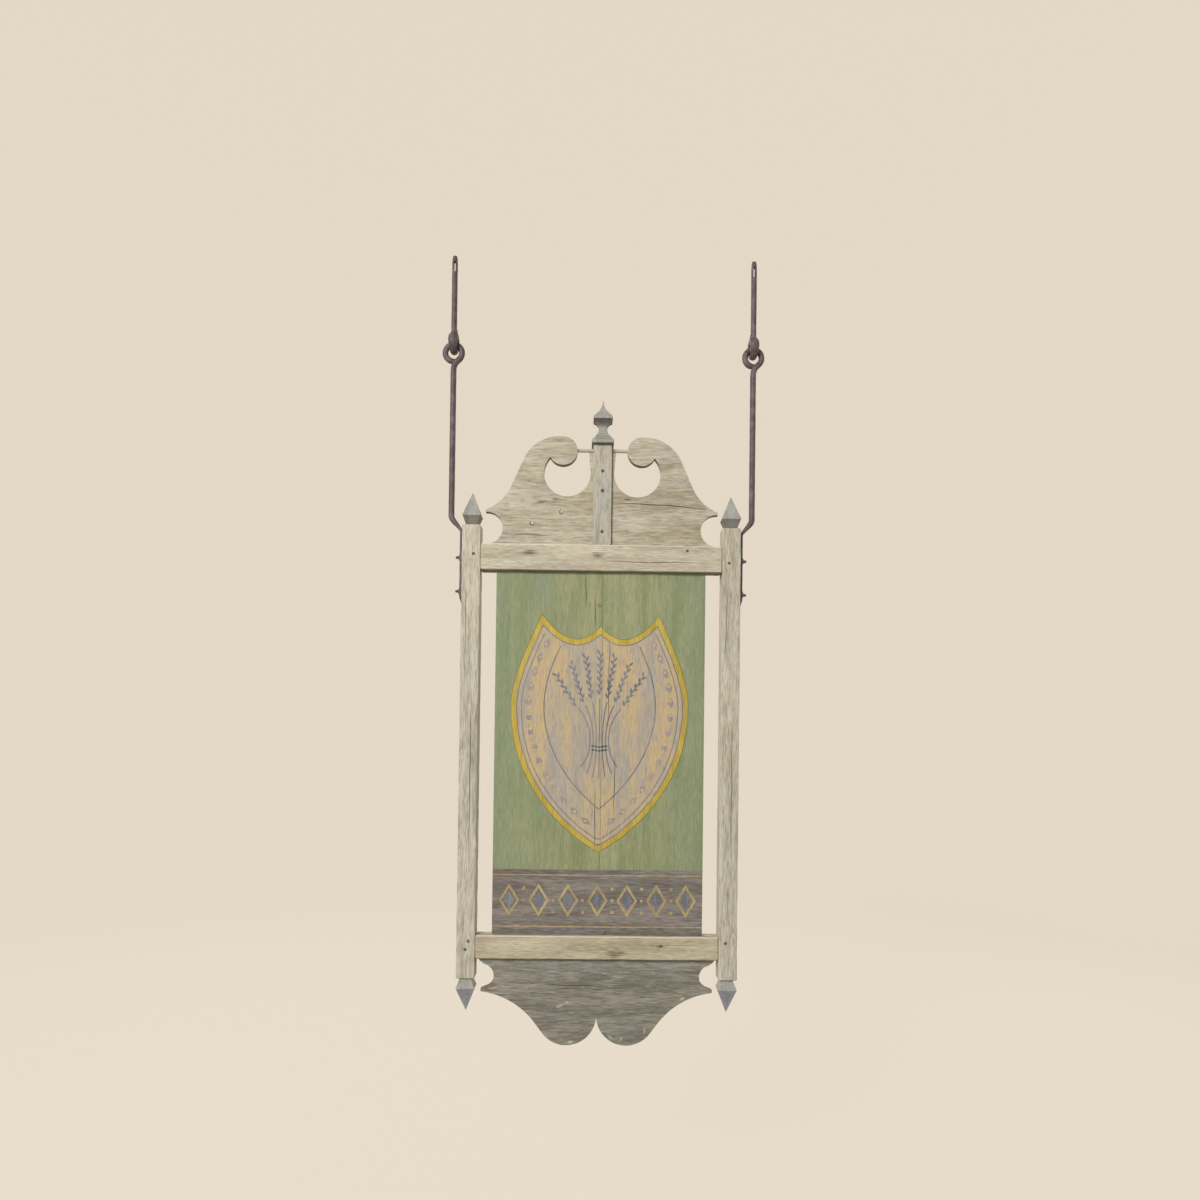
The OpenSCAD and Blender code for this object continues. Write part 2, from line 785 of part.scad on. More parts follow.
// Centre post, forked over the tongue of the pediment
module centre_post() {
    color(weathered)
        difference() {
            block(centre_w, centre_d, centre_h, top_rail_top);
            block(2 * centre_w, board_t + 2 * fit, tongue_h + fit + past, top_rail_top - past);
            translate([0, 0, top_rail_top + centre_h - centre_pin_l - end_room])
                cylinder(d = centre_pin_d + 2 * fit, h = centre_pin_l + end_room + past);
            for (z = centre_nail_heights)
                bar_y(nail_d + 2 * fit, -centre_d, centre_d, 0, top_rail_top + z);
            for (side = [-1, 1])
                on_side(side)
                    bar_x(tie_d + 2 * fit, tie_root - end_room, centre_w, top_rail_top + tie_z);
        }
}

module centre_post_nails() {
    color(iron_black)
        for (z = centre_nail_heights)
            nail(0, top_rail_top + z, -centre_d / 2, centre_d - nail_cover);
}

// Half widths of the centre finial from its plinth up: plinth, two steps, hollow neck, block, hollow spire
function centre_finial_half() =
    let (p = plinth_w / 2, n = neck_w / 2, b = block_w / 2, shelf = shelf_w / 2, spire = b - spire_in,
        z0 = plinth_h + 2 * step_h, thin_z = z0 + neck_h * neck_share, z1 = z0 + neck_h,
        z2 = z1 + block_h, z3 = z2 + spire_ledge)
    concat(
        [[0, 0], [p, 0], [p, plinth_h], [p - step_in, plinth_h], [p - step_in, plinth_h + step_h],
            [p - 2 * step_in, plinth_h + step_h], [p - 2 * step_in, z0]],
        [for (i = [0:bend_steps])
            let (s = i / bend_steps)
            [between(n, shelf, pow(1 - s, 2)), between(z0, thin_z, s)]],
        [for (i = [1:bend_steps])
            let (s = i / bend_steps)
            [between(n, b, pow(s, neck_flare)), between(thin_z, z1, s)]],
        [[b, z2]],
        [for (i = [0:bend_steps])
            let (s = i / bend_steps)
            [max(spire * pow(1 - s, spire_hollow), spire_tip / 2), between(z3, z2 + spire_h, s)]],
        [[0, z2 + spire_h]]
    );

// Centre finial: square in plan, with a round tenon below
module centre_finial() {
    color(lead_grey)
        translate([0, 0, top_rail_top + centre_h])
            union() {
                rotate([0, 0, 45])
                    rotate_extrude($fn = 4)
                        polygon([for (q = centre_finial_half()) [q.x * sqrt(2), q.y]]);
                translate([0, 0, -centre_pin_l])
                    cylinder(d = centre_pin_d, h = centre_pin_l + plinth_h / 2);
            }
}

// Tie rod from the rolled end of a scroll to the centre post
module tie_rod(side) {
    color(weathered)
        on_side(side)
            bar_x(tie_d, tie_root, tie_tip, top_rail_top + tie_z);
}

module skirt_board() {
    color(grey_wood)
        difference() {
            translate([0, 0, bottom_rail_low])
                board(mirrored(skirt_half()), board_t);
            dowel_bores(skirt_dowel_x, bottom_rail_low - dowel_in_board - end_room,
                dowel_in_board + end_room + past);
        }
}

module skirt_dowels() {
    color(weathered)
        for (x = [-skirt_dowel_x, -dowel_x, dowel_x, skirt_dowel_x])
            translate([x, 0, bottom_rail_low - dowel_in_board])
                cylinder(d = board_dowel_d, h = dowel_in_rail + dowel_in_board);
}

eyebolt(-1);  // left_eyebolt
eyebolt(1);  // right_eyebolt
hanger(-1);  // left_hanger
hanger(1);  // right_hanger
strap_bolts();
strap_roves();
post(-1);  // left_post
post(1);  // right_post
top_finial(-1);  // top_left_finial
top_finial(1);  // top_right_finial
bottom_finial(-1);  // bottom_left_finial
bottom_finial(1);  // bottom_right_finial
top_rail();
bottom_rail();
rail_pegs();
panel_board(-panel_side, panel_joint_x);  // left_panel_board
panel_board(panel_joint_x, panel_side);  // right_panel_board
panel_dowels();
pediment_board();
pediment_dowels();
pediment_nails();
centre_post();
centre_post_nails();
centre_finial();
tie_rod(-1);  // left_tie_rod
tie_rod(1);  // right_tie_rod
skirt_board();
skirt_dowels();
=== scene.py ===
# Looks of a hanging tavern sign: a weathered pine frame, a painted panel and wrought irons.
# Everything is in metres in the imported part's own frame: +X right, +Z up, the front faces -Y.
import json
import math

import bmesh
import bpy
from mathutils import Matrix, Vector, noise


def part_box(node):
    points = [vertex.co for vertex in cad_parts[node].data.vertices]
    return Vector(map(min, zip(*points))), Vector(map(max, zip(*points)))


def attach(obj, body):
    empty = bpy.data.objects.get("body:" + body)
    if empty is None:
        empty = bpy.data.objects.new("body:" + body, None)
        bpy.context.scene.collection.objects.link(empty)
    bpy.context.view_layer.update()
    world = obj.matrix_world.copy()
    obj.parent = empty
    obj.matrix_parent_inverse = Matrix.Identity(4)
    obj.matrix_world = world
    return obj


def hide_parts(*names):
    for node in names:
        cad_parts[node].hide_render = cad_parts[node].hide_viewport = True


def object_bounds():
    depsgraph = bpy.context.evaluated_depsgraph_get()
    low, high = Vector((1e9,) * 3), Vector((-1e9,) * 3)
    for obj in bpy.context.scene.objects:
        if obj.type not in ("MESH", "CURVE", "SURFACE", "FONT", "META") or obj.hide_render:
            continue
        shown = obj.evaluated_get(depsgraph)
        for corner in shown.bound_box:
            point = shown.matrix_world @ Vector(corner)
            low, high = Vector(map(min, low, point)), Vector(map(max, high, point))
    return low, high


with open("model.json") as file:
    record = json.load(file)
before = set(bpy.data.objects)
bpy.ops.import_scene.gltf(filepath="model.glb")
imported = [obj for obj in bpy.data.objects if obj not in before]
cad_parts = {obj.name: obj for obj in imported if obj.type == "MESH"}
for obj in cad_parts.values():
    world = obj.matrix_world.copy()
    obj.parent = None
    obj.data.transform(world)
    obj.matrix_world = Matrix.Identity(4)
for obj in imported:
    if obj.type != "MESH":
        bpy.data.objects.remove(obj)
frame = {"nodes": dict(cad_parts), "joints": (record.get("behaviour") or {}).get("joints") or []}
cad_low, cad_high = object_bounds()
nodes = frame["nodes"]
scene = bpy.context.scene
MM = 0.001
SIDES = ((-1, "left"), (1, "right"))

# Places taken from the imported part
post_low, post_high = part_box("right_post")
POST_IN, POST_OUT = post_low.x, post_high.x
POST_MID = (POST_IN + POST_OUT) / 2
top_rail_low, top_rail_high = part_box("top_rail")
bottom_rail_low, bottom_rail_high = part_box("bottom_rail")
RAIL_TOP, TOP_RAIL_MID = top_rail_high.z, (top_rail_low.z + top_rail_high.z) / 2
RAIL_FACE = top_rail_high.y
PANEL_SIDE, PANEL_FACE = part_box("right_panel_board")[1].xy
PANEL_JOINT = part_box("left_panel_board")[1].x
BOARD_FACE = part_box("pediment_board")[1].y
centre_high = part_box("centre_post")[1]
ROD_X = sum(corner.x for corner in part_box("right_eyebolt")) / 2
SHANK_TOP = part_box("right_eyebolt")[1].z
STRAP_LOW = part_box("right_hanger")[0].z
SWING_Z = frame["joints"][0]["pos_m"][2]


# Small helpers

def srgb(code):
    """A hex colour as linear red, green, blue and alpha."""
    parts = [int(code[i:i + 2], 16) / 255 for i in (1, 3, 5)]
    return [p / 12.92 if p <= 0.04045 else ((p + 0.055) / 1.055) ** 2.4 for p in parts] + [1.0]


def add(tree, kind, links=None, stops=(), **settings):
    """Adds a node. settings are its properties, links give each input a socket, a node or a plain value."""
    node = tree.nodes.new(kind)
    for name, value in settings.items():
        setattr(node, name, value)
    for key, value in (links or {}).items():
        if isinstance(value, bpy.types.Node):
            value = next(out for out in value.outputs if out.enabled)
        if isinstance(value, bpy.types.NodeSocket):
            tree.links.new(value, node.inputs[key])
        else:
            node.inputs[key].default_value = value
    for i, (place, code) in enumerate(stops):
        marks = node.color_ramp.elements
        mark = marks[i] if i < 2 else marks.new(place)
        mark.position = place
        mark.color = srgb(code)
    return node


def between(a, b, t):
    return a + (b - a) * t


def evenly(count):
    """Even steps from 0 to 1."""
    return [i / count for i in range(count + 1)]


def ease(t):
    t = min(max(t, 0.0), 1.0)
    return t * t * (3 - 2 * t)


def wobble(*place):
    """Smooth noise from about -1 to 1 at a place."""
    return noise.noise(Vector(place))


def mm(*points):
    """Points, or radii and heights of a profile, that are given in millimetres."""
    return [tuple(value * MM for value in point) for point in points]


def placed(name, data):
    """A new object of the scene."""
    made = bpy.data.objects.new(name, data)
    scene.collection.objects.link(made)
    return made


def mesh_of(verts, faces, edges=()):
    mesh = bpy.data.meshes.new("shape")
    mesh.from_pydata(verts, edges, faces)
    return mesh


def skinned(rings, open_end=False):
    """A mesh through rings of points, closed at its first end and, unless it stays open, at its last."""
    n, count = len(rings[0]), len(rings)
    faces = [[i * n + j, i * n + (j + 1) % n, (i + 1) * n + (j + 1) % n, (i + 1) * n + j]
             for i in range(count - 1) for j in range(n)]
    faces.append(list(range(n)))
    if not open_end:
        faces.append(list(range((count - 1) * n, count * n)))
    return mesh_of([point for ring in rings for point in ring], faces)


def joined(meshes):
    """Several meshes as one."""
    bm = bmesh.new()
    for mesh in meshes:
        bm.from_mesh(mesh)
    whole = bpy.data.meshes.new("joined")
    bm.to_mesh(whole)
    bm.free()
    return whole


def turned_out(mesh, weld=0.0):
    """The mesh with its faces turned outwards, after points closer than weld are made one."""
    bm = bmesh.new()
    bm.from_mesh(mesh)
    if weld:
        bmesh.ops.remove_doubles(bm, verts=bm.verts, dist=weld)
    bmesh.ops.recalc_face_normals(bm, faces=bm.faces)
    bm.to_mesh(mesh)
    bm.free()
    return mesh


def tidy_mesh(mesh, sharp_deg):
    """Closes seams, turns faces outwards, drops working attributes and smooths all but the sharp edges."""
    turned_out(mesh, 0.002 * MM)
    for name in [a.name for a in mesh.attributes if not (a.is_required or a.is_internal)]:
        mesh.attributes.remove(mesh.attributes[name])
    mesh.polygons.foreach_set("use_smooth", [True] * len(mesh.polygons))
    mesh.set_sharp_from_angle(angle=math.radians(sharp_deg))


def piece(name, mesh, material, replaced=(), body="sign", sharp_deg=24, under=0.0, arris_highlight=0.0):
    """A finished piece that rides on a body and stands for some of the part's nodes.

    Its last two numbers paint light into its colour: how strongly painted shade darkens its faces that look down, and
    how strongly a painted highlight lightens its upper edges.
    """
    tidy_mesh(mesh, sharp_deg)
    # Painted shade on the faces that look down and a painted highlight on the upper edges, kept as a face attribute
    # for the material
    if under:
        tilts = [face.normal.z for face in mesh.polygons]
        shade = [under * ease(-2.2 * tilt) - arris_highlight * (0.25 < tilt < 0.95) for tilt in tilts]
        mesh.attributes.new("under", "FLOAT", "FACE").data.foreach_set("value", shade)
    mesh.materials.clear()
    mesh.materials.append(material)
    made = placed(name, mesh)
    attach(made, body)
    if replaced:
        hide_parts(*replaced)


def plain_mesh(holder):
    """The mesh that an object's modifiers make of it. The object itself goes."""
    graph = bpy.context.evaluated_depsgraph_get()
    result = bpy.data.meshes.new_from_object(holder.evaluated_get(graph), depsgraph=graph)
    bpy.data.objects.remove(holder)
    return result


def modified(mesh, *steps):
    """The mesh after some modifiers, each given as its kind and its settings."""
    holder = placed("holder", mesh)
    for kind, settings in steps:
        step = holder.modifiers.new(kind, kind)
        for name, value in settings.items():
            setattr(step, name, value)
    return plain_mesh(holder)


def cut(mesh, cutters):
    """The mesh with other closed meshes taken out of it."""
    tool = placed("cutter", joined(cutters))
    result = modified(mesh, ("BOOLEAN", {"object": tool, "operation": "DIFFERENCE", "solver": "EXACT"}))
    bpy.data.objects.remove(tool)
    return result


def prism(outline, y0, y1):
    """A flat closed solid: an outline in X and Z between two depths."""
    n = len(outline)
    faces = [list(range(n)), list(range(2 * n - 1, n - 1, -1))]
    faces += [[i, (i + 1) % n, n + (i + 1) % n, n + i] for i in range(n)]
    return turned_out(mesh_of([(x, y, z) for y in (y0, y1) for x, z in outline], faces))


def lengthways(points):
    """True where a line of X and Z points runs more upright than level."""
    return abs(points[-1][1] - points[0][1]) > abs(points[-1][0] - points[0][0])


def wandering(corners, sway, seed, step=12 * MM):
    """A line through some corners that strays a little, as a split in wood does."""
    points = []
    for (x0, z0), (x1, z1) in zip(corners, corners[1:]):
        steps = max(2, round(math.dist((x0, z0), (x1, z1)) / step))
        points += [(between(x0, x1, i / steps), between(z0, z1, i / steps)) for i in range(steps)]
    points.append(corners[-1])
    upright = lengthways(points)
    strayed = []
    for x, z in points:
        stray = sway * wobble(seed, (x + z) / (30 * MM), 0.3)
        strayed.append((x + stray, z) if upright else (x, z + stray))
    return strayed


def gouge(corners, sway, seed, width, y0, y1):
    """A split in wood as a solid to cut with: it strays, opens from a hair to its full width and closes again."""
    points = wandering(corners, sway, seed)
    last = len(points) - 1
    upright = lengthways(points)
    one, other = [], []
    for i, (x, z) in enumerate(points):
        half = width / 2 * max(math.sin(math.pi * i / last), 0.02) ** 0.6
        dx, dz = (half, 0) if upright else (0, half)
        one.append((x + dx, z + dz))
        other.append((x - dx, z - dz))
    return prism(one + other[::-1], y0, y1)


def bezier(p0, p1, p2, p3, steps=24):
    """Points on a cubic curve, without its last point."""
    line = []
    for i in range(steps):
        t = i / steps
        s = 1 - t
        weights = (s ** 3, 3 * s * s * t, 3 * s * t * t, t ** 3)
        line.append(tuple(sum(w * p[k] for w, p in zip(weights, (p0, p1, p2, p3))) for k in (0, 1)))
    return line


def ribbon(points, width):
    """The outline of a brush line of even width along some points."""
    left, right = [], []
    for i, (x, z) in enumerate(points):
        (ax, az), (bx, bz) = points[max(i - 1, 0)], points[min(i + 1, len(points) - 1)]
        size = math.dist((ax, az), (bx, bz))
        nx, nz = -(bz - az) / size * width / 2, (bx - ax) / size * width / 2
        left.append((x + nx, z + nz))
        right.append((x - nx, z - nz))
    return left + right[::-1]


def edge_distance(point, a, b):
    """How far a point lies from the line between two others."""
    ax, az = b[0] - a[0], b[1] - a[1]
    t = ((point[0] - a[0]) * ax + (point[1] - a[1]) * az) / (ax * ax + az * az)
    t = min(max(t, 0.0), 1.0)
    return math.dist(point, (a[0] + t * ax, a[1] + t * az))


def inset(outline, distance):
    """A closed outline moved inwards by one distance, without the points that would fold over at its tips."""
    edges = list(zip(outline, outline[1:] + outline[:1]))
    turn = 1 if sum(x0 * z1 - x1 * z0 for (x0, z0), (x1, z1) in edges) > 0 else -1
    moved = []
    for i, (x, z) in enumerate(outline):
        here = Vector((x, z))
        a = (here - Vector(outline[i - 1])).normalized()
        b = (Vector(outline[(i + 1) % len(outline)]) - here).normalized()
        na, nb = Vector((-a.y, a.x)) * turn, Vector((-b.y, b.x)) * turn
        way = (na + nb) / max(1 + na.dot(nb), 0.3)
        moved.append((x + way.x * distance, z + way.y * distance))
    return [p for p in moved if all(edge_distance(p, a, b) > 0.9999 * abs(distance) for a, b in edges)]


# Materials

def blank_material(name):
    """A new material with an empty tree, and the tree."""
    material = bpy.data.materials.new(name)
    material.use_nodes = True
    material.node_tree.nodes.clear()
    return material, material.node_tree


def grained(name, along, codes, shares, rough, knots=(), shift=0.0, sides=None, shade_paint="#a0968a"):
    """Pine with its grain along one axis, bare or under worn paint.

    codes are seven colours: the ground's three from dark to light, the dark and the pale fibres, the weathered
    places and the fine splits. shares say how strong the fibres, how common the places and how strong the
    splits are. sides is what shows towards the long edges of a panel, a colour and how strong it is, and the
    last colour is painted shade, multiplied onto the faces that look down. The fibres of pine are finer than a
    millimetre, and are drawn about 3 mm wide so that they show.
    """
    *tones, dark_fibre, pale_fibre, patch, check = codes.split()
    dark_share, pale_share, patch_share, check_share = shares
    material, tree = blank_material(name)
    place = add(tree, "ShaderNodeTexCoord").outputs["Object"]
    # Length along the grain and width across it in mm, detail, bend and place of the four patterns
    patterns = []
    for long_mm, wide_mm, detail, bend, move in ((230, 24, 3.0, 0.5, 0), (26, 2.6, 4.0, 0.0, 7),
                                                 (170, 70, 5.0, 0.3, 3), (150, 10, 2.0, 0.4, 11)):
        scale = [1000 / wide_mm] * 3
        scale["xyz".index(along)] = 1000 / long_mm
        spot = add(tree, "ShaderNodeMapping", {"Vector": place, "Location": [shift + move] * 3, "Scale": scale})
        patterns.append(add(tree, "ShaderNodeTexNoise", {"Vector": spot, "Scale": 1.0, "Detail": detail,
                                                         "Roughness": 0.62, "Distortion": bend}))
    figure, fibre, broad, thin = patterns

    # Layers over the ground colour from the lowest up: how much there is, its colour and how it is laid on
    layers = []
    if sides:
        across = add(tree, "ShaderNodeSeparateXYZ", {0: place})
        across = add(tree, "ShaderNodeMath", {0: across}, operation="ABSOLUTE")
        across = add(tree, "ShaderNodeMath", {0: broad, 1: 0.3, 2: across}, operation="MULTIPLY_ADD")
        near = add(tree, "ShaderNodeMapRange", {"Value": across, "From Min": 0.2, "From Max": 0.4,
                                                "To Max": sides[1]})
        layers.append((near, sides[0], "MIX"))
    worn = add(tree, "ShaderNodeMapRange", {"Value": broad, "From Min": 0.66 - 0.3 * patch_share,
                                            "From Max": 0.86 - 0.3 * patch_share, "To Max": 0.8})
    layers.append((worn, patch, "MIX"))
    for code, strength, first, last in ((dark_fibre, dark_share, 0.5, 0.32), (pale_fibre, pale_share, 0.52, 0.7)):
        fine = add(tree, "ShaderNodeMapRange", {"Value": fibre, "From Min": first, "From Max": last,
                                                "To Max": strength})
        layers.append((fine, code, "MIX"))
    off = add(tree, "ShaderNodeMath", {0: thin, 1: 0.5}, operation="SUBTRACT")
    off = add(tree, "ShaderNodeMath", {0: off}, operation="ABSOLUTE")
    split = add(tree, "ShaderNodeMapRange", {"Value": off, "From Max": 0.01, "To Min": check_share, "To Max": 0.0})
    kept = add(tree, "ShaderNodeMapRange", {"Value": broad, "From Min": 0.44, "From Max": 0.6})
    split = add(tree, "ShaderNodeMath", {0: split, 1: kept}, operation="MULTIPLY")
    layers.append((split, check, "MIX"))
    for x, z, size in knots:
        spot = add(tree, "ShaderNodeVectorMath", {0: place, 1: (x, 0, z)}, operation="SUBTRACT")
        squeeze = [1.0, 0.0, 1.0]
        squeeze["xyz".index(along)] = 0.4
        spot = add(tree, "ShaderNodeVectorMath", {0: spot, 1: squeeze}, operation="MULTIPLY")
        away = add(tree, "ShaderNodeVectorMath", {0: spot}, operation="LENGTH")
        ragged = add(tree, "ShaderNodeMath", {0: fibre, 1: 2.2 * size, 2: away}, operation="MULTIPLY_ADD")
        dark = add(tree, "ShaderNodeMapRange", {"Value": ragged, "From Min": 1.2 * size, "From Max": 2.2 * size,
                                                "To Min": 0.8, "To Max": 0.0})
        layers.append((dark, "#554a3b", "MIX"))
    # Painted shade multiplied onto the faces that look down, and a painted pale highlight on upper edges, read from
    # the piece's face attribute
    under = add(tree, "ShaderNodeAttribute", attribute_name="under").outputs["Fac"]
    painted_highlight = add(tree, "ShaderNodeMath", {0: under, 1: -1.0}, operation="MULTIPLY")
    layers += [(under, shade_paint, "MULTIPLY"), (painted_highlight, "#e6dfce", "MIX")]
    ground = [(0.36 + 0.28 * i / (len(tones) - 1), code) for i, code in enumerate(tones)]
    colour = add(tree, "ShaderNodeValToRGB", {"Fac": figure}, stops=ground)
    for share, code, laid in layers:
        colour = add(tree, "ShaderNodeMix", {0: share, 6: colour, 7: srgb(code)}, data_type="RGBA", blend_type=laid)
    height = add(tree, "ShaderNodeMath", {0: split, 1: -0.8, 2: fibre}, operation="MULTIPLY_ADD")
    bump = add(tree, "ShaderNodeBump", {"Height": height, "Strength": 0.5, "Distance": 0.7 * MM})
    gloss = add(tree, "ShaderNodeMapRange", {"Value": fibre, "To Min": rough - 0.08, "To Max": rough + 0.1})
    shader = add(tree, "ShaderNodeBsdfPrincipled", {"Base Color": colour, "Roughness": gloss, "Normal": bump,
                                                    "IOR": 1.45, "Specular IOR Level": 0.3})
    add(tree, "ShaderNodeOutputMaterial", {"Surface": shader})
    return material


def wrought_iron():
    """Hammered wrought iron under an old oxide skin: dull brown-black, warm in the hollows, greyer where rubbed."""
    material, tree = blank_material("wrought iron, oxidised")
    place = add(tree, "ShaderNodeTexCoord").outputs["Object"]
    skin = add(tree, "ShaderNodeTexNoise", {"Vector": place, "Scale": 1000 / 18, "Detail": 5.0})
    pits = add(tree, "ShaderNodeTexNoise", {"Vector": place, "Scale": 1000 / 3.5, "Detail": 3.0})
    colour = add(tree, "ShaderNodeValToRGB", {"Fac": skin},
                 stops=[(0.3, "#4c4343"), (0.7, "#736a68"), (0.5, "#5f5554")])
    rust = add(tree, "ShaderNodeMapRange", {"Value": pits, "From Min": 0.55, "From Max": 0.75, "To Max": 0.35})
    colour = add(tree, "ShaderNodeMix", {0: rust, 6: colour, 7: srgb("#5b4238")}, data_type="RGBA")
    bump = add(tree, "ShaderNodeBump", {"Height": pits, "Strength": 0.4, "Distance": 0.5 * MM})
    gloss = add(tree, "ShaderNodeMapRange", {"Value": skin, "To Min": 0.5, "To Max": 0.75})
    shader = add(tree, "ShaderNodeBsdfPrincipled", {"Base Color": colour, "Roughness": gloss, "Normal": bump,
                                                    "Metallic": 0.35, "Specular IOR Level": 0.4})
    add(tree, "ShaderNodeOutputMaterial", {"Surface": shader})
    return material


# Knots, each at X and Z with its size in mm
RAIL_KNOTS = mm((-171, -537, 9), (-9, -539, 7), (42, -1484, 11), (150, -1467, 4))
PEDIMENT_KNOTS = mm((-146, -412, 6), (-112, -405, 4), (60, -403, 4))
SKIRT_KNOTS = mm((-262, -1566, 12))
# Bare pine gone silver in sun and rain: pale fibres, grey-brown hollows, a little warmth left
pine_post = grained("weathered pine, upright", "z", "#aaa28c #bdb59f #ccc3ad #8a826d #d8d1c1 #c0b198 #6f6757",
                    (0.75, 0.7, 0.45, 0.5), 0.82)
pine_rail = grained("weathered pine, level", "x", "#b1a68d #c1b79f #cdc2a9 #958a74 #dad1bd #b9b4a6 #746a57",
                    (0.7, 0.7, 0.4, 0.5), 0.82, knots=RAIL_KNOTS, shift=2.0)
pine_low_rail = grained("weathered pine, level, sheltered", "x",
                        "#ab9d80 #bcae91 #cabc9f #8f836a #d7cbb2 #b5ac9b #746a57", (0.7, 0.7, 0.35, 0.5), 0.82,
                        knots=RAIL_KNOTS, shift=2.0)
pine_pediment = grained("weathered pine, wide board", "x", "#a2977c #b6ac94 #c4baa3 #857b64 #d3cbb9 #b5b1a6 #6a604e",
                        (0.75, 0.65, 0.4, 0.55), 0.82, knots=PEDIMENT_KNOTS, shift=5.0)
pine_centre = grained("weathered pine, centre post", "z", "#a19985 #b3ab97 #c0b8a4 #857d6a #cbc4b3 #b1aea5 #6d6556",
                      (0.7, 0.6, 0.4, 0.5), 0.82, shift=3.0)
# End grain drinks dirt and damp, so the pegs' ends stand darker than the posts
pine_end = grained("pine end grain", "y", "#5d5548 #71685a #857b6b #4f483d #988e7c #747069 #463f36",
                   (0.6, 0.5, 0.4, 0.5), 0.85, shift=53.0)
# Dabs of the frame's old pale paint left on nail heads
nail_paint = grained("old paint on nail heads", "z", "#b3ada0 #c5bfb2 #d2ccbf #9a9488 #dad5c9 #bfbcb5 #726c60",
                     (0.5, 0.5, 0.4, 0.4), 0.7, shift=57.0)
# The skirt's dark paint has gone to a chalky grey with the wood showing along the grain
pine_skirt = grained("grey painted pine", "x", "#777264 #8b8576 #9c9584 #625e52 #b0a997 #979690 #4c483e",
                     (0.75, 0.7, 0.4, 0.6), 0.8, knots=SKIRT_KNOTS, shift=9.0)
# Lead-grey oil paint on turned blocks: smooth, chalky and slightly blue
lead_paint = grained("lead paint on pine", "z", "#8f8b82 #9f9b91 #ada99e #7f7c74 #b8b4a9 #9c9b9b #706c66",
                     (0.5, 0.5, 0.4, 0.3), 0.65, shift=13.0)
# The same paint on the hanging finials, its tones paler as painted light on their upper facets, with painted
# blue-grey shade on the faces that look down
lead_low = grained("lead paint on pine, hanging", "z", "#98948b #a9a59b #b8b4a9 #86837c #c1bdb2 #a5a4a3 #76726c",
                   (0.5, 0.5, 0.4, 0.3), 0.65, shift=61.0, shade_paint="#dfe4f6")
# Green oil paint worn thin on an upright board: the grain telegraphs through it
green_paint = grained("green oil paint on pine", "z", "#858a5e #93956c #a09e76 #74805c #aba883 #8a937c #5f6a4b",
                      (0.7, 0.5, 0.35, 0.5), 0.7, shift=17.0, sides=("#7f8b6d", 0.6))
# Chrome-yellow oil paint, brushed on by hand
yellow_paint = grained("yellow oil paint", "z", "#b09536 #bea33f #c8ae50 #9c853b #cdb668 #b09d5c #8b7837",
                       (0.6, 0.5, 0.4, 0.4), 0.6, shift=21.0)
# Buff oil paint, much of it gone: warm paint and grey wood in upright streaks
buff_paint = grained("buff oil paint, worn", "z", "#a79d90 #b6a68b #c6ab7e #928a86 #cdb083 #aba5a0 #837a72",
                     (0.75, 0.65, 0.45, 0.5), 0.75, shift=25.0)
# Lampblack paint, thin and streaky, brown where it has perished
black_paint = grained("lampblack oil paint, worn", "x", "#6b635b #7e766c #8f867a #58514b #a0968a #828180 #47413b",
                      (0.75, 0.65, 0.4, 0.6), 0.7, shift=29.0)
# Oil paints of the ornament and of the shield's outline, all rubbed thin
slate_paint = grained("slate-blue oil paint", "z", "#696b72 #777880 #8a8785 #5c5d62 #96918a #8c857c #55524f",
                      (0.6, 0.5, 0.4, 0.4), 0.7, shift=33.0)
tan_paint = grained("tan oil paint", "z", "#a08a60 #b29a6c #bfa878 #857556 #c6b184 #8a7d6a #6f6450",
                    (0.7, 0.5, 0.45, 0.4), 0.7, shift=37.0)
lilac_paint = grained("lilac-grey oil paint", "z", "#8d8686 #9b918c #ab9b8a #807a7b #b6a58d #b3a188 #7b7370",
                      (0.6, 0.5, 0.45, 0.4), 0.75, shift=41.0)
ochre_paint = grained("ochre oil paint", "z", "#bd9a66 #cdaa76 #d7b684 #a88d69 #d9bc8f #b5a28c #988468",
                      (0.6, 0.5, 0.45, 0.4), 0.7, shift=45.0)
olive_paint = grained("dark olive outline paint", "z", "#6a6a3c #7a7642 #8a8350 #605f37 #95905f #8d8a5e #57552f",
                      (0.6, 0.5, 0.4, 0.4), 0.7, shift=49.0)
iron = wrought_iron()


# Geometry Nodes: bars, fixings and rows

def new_tree(name, inputs):
    """A node tree with a geometry in and out and named inputs. Gives the tree and its input node."""
    tree = bpy.data.node_groups.new(name, "GeometryNodeTree")
    for label, kind in [("Geometry", "Geometry")] + inputs:
        tree.interface.new_socket(label, in_out="INPUT", socket_type="NodeSocket" + kind)
    tree.interface.new_socket("Geometry", in_out="OUTPUT", socket_type="NodeSocketGeometry")
    return tree, add(tree, "NodeGroupInput").outputs


def close_tree(tree, geometry, material):
    """Ends a tree: instances made real, then the material."""
    real = add(tree, "GeometryNodeRealizeInstances", {"Geometry": geometry})
    done = add(tree, "GeometryNodeSetMaterial", {"Geometry": real, "Material": material})
    add(tree, "NodeGroupOutput", {"Geometry": done})
    return tree


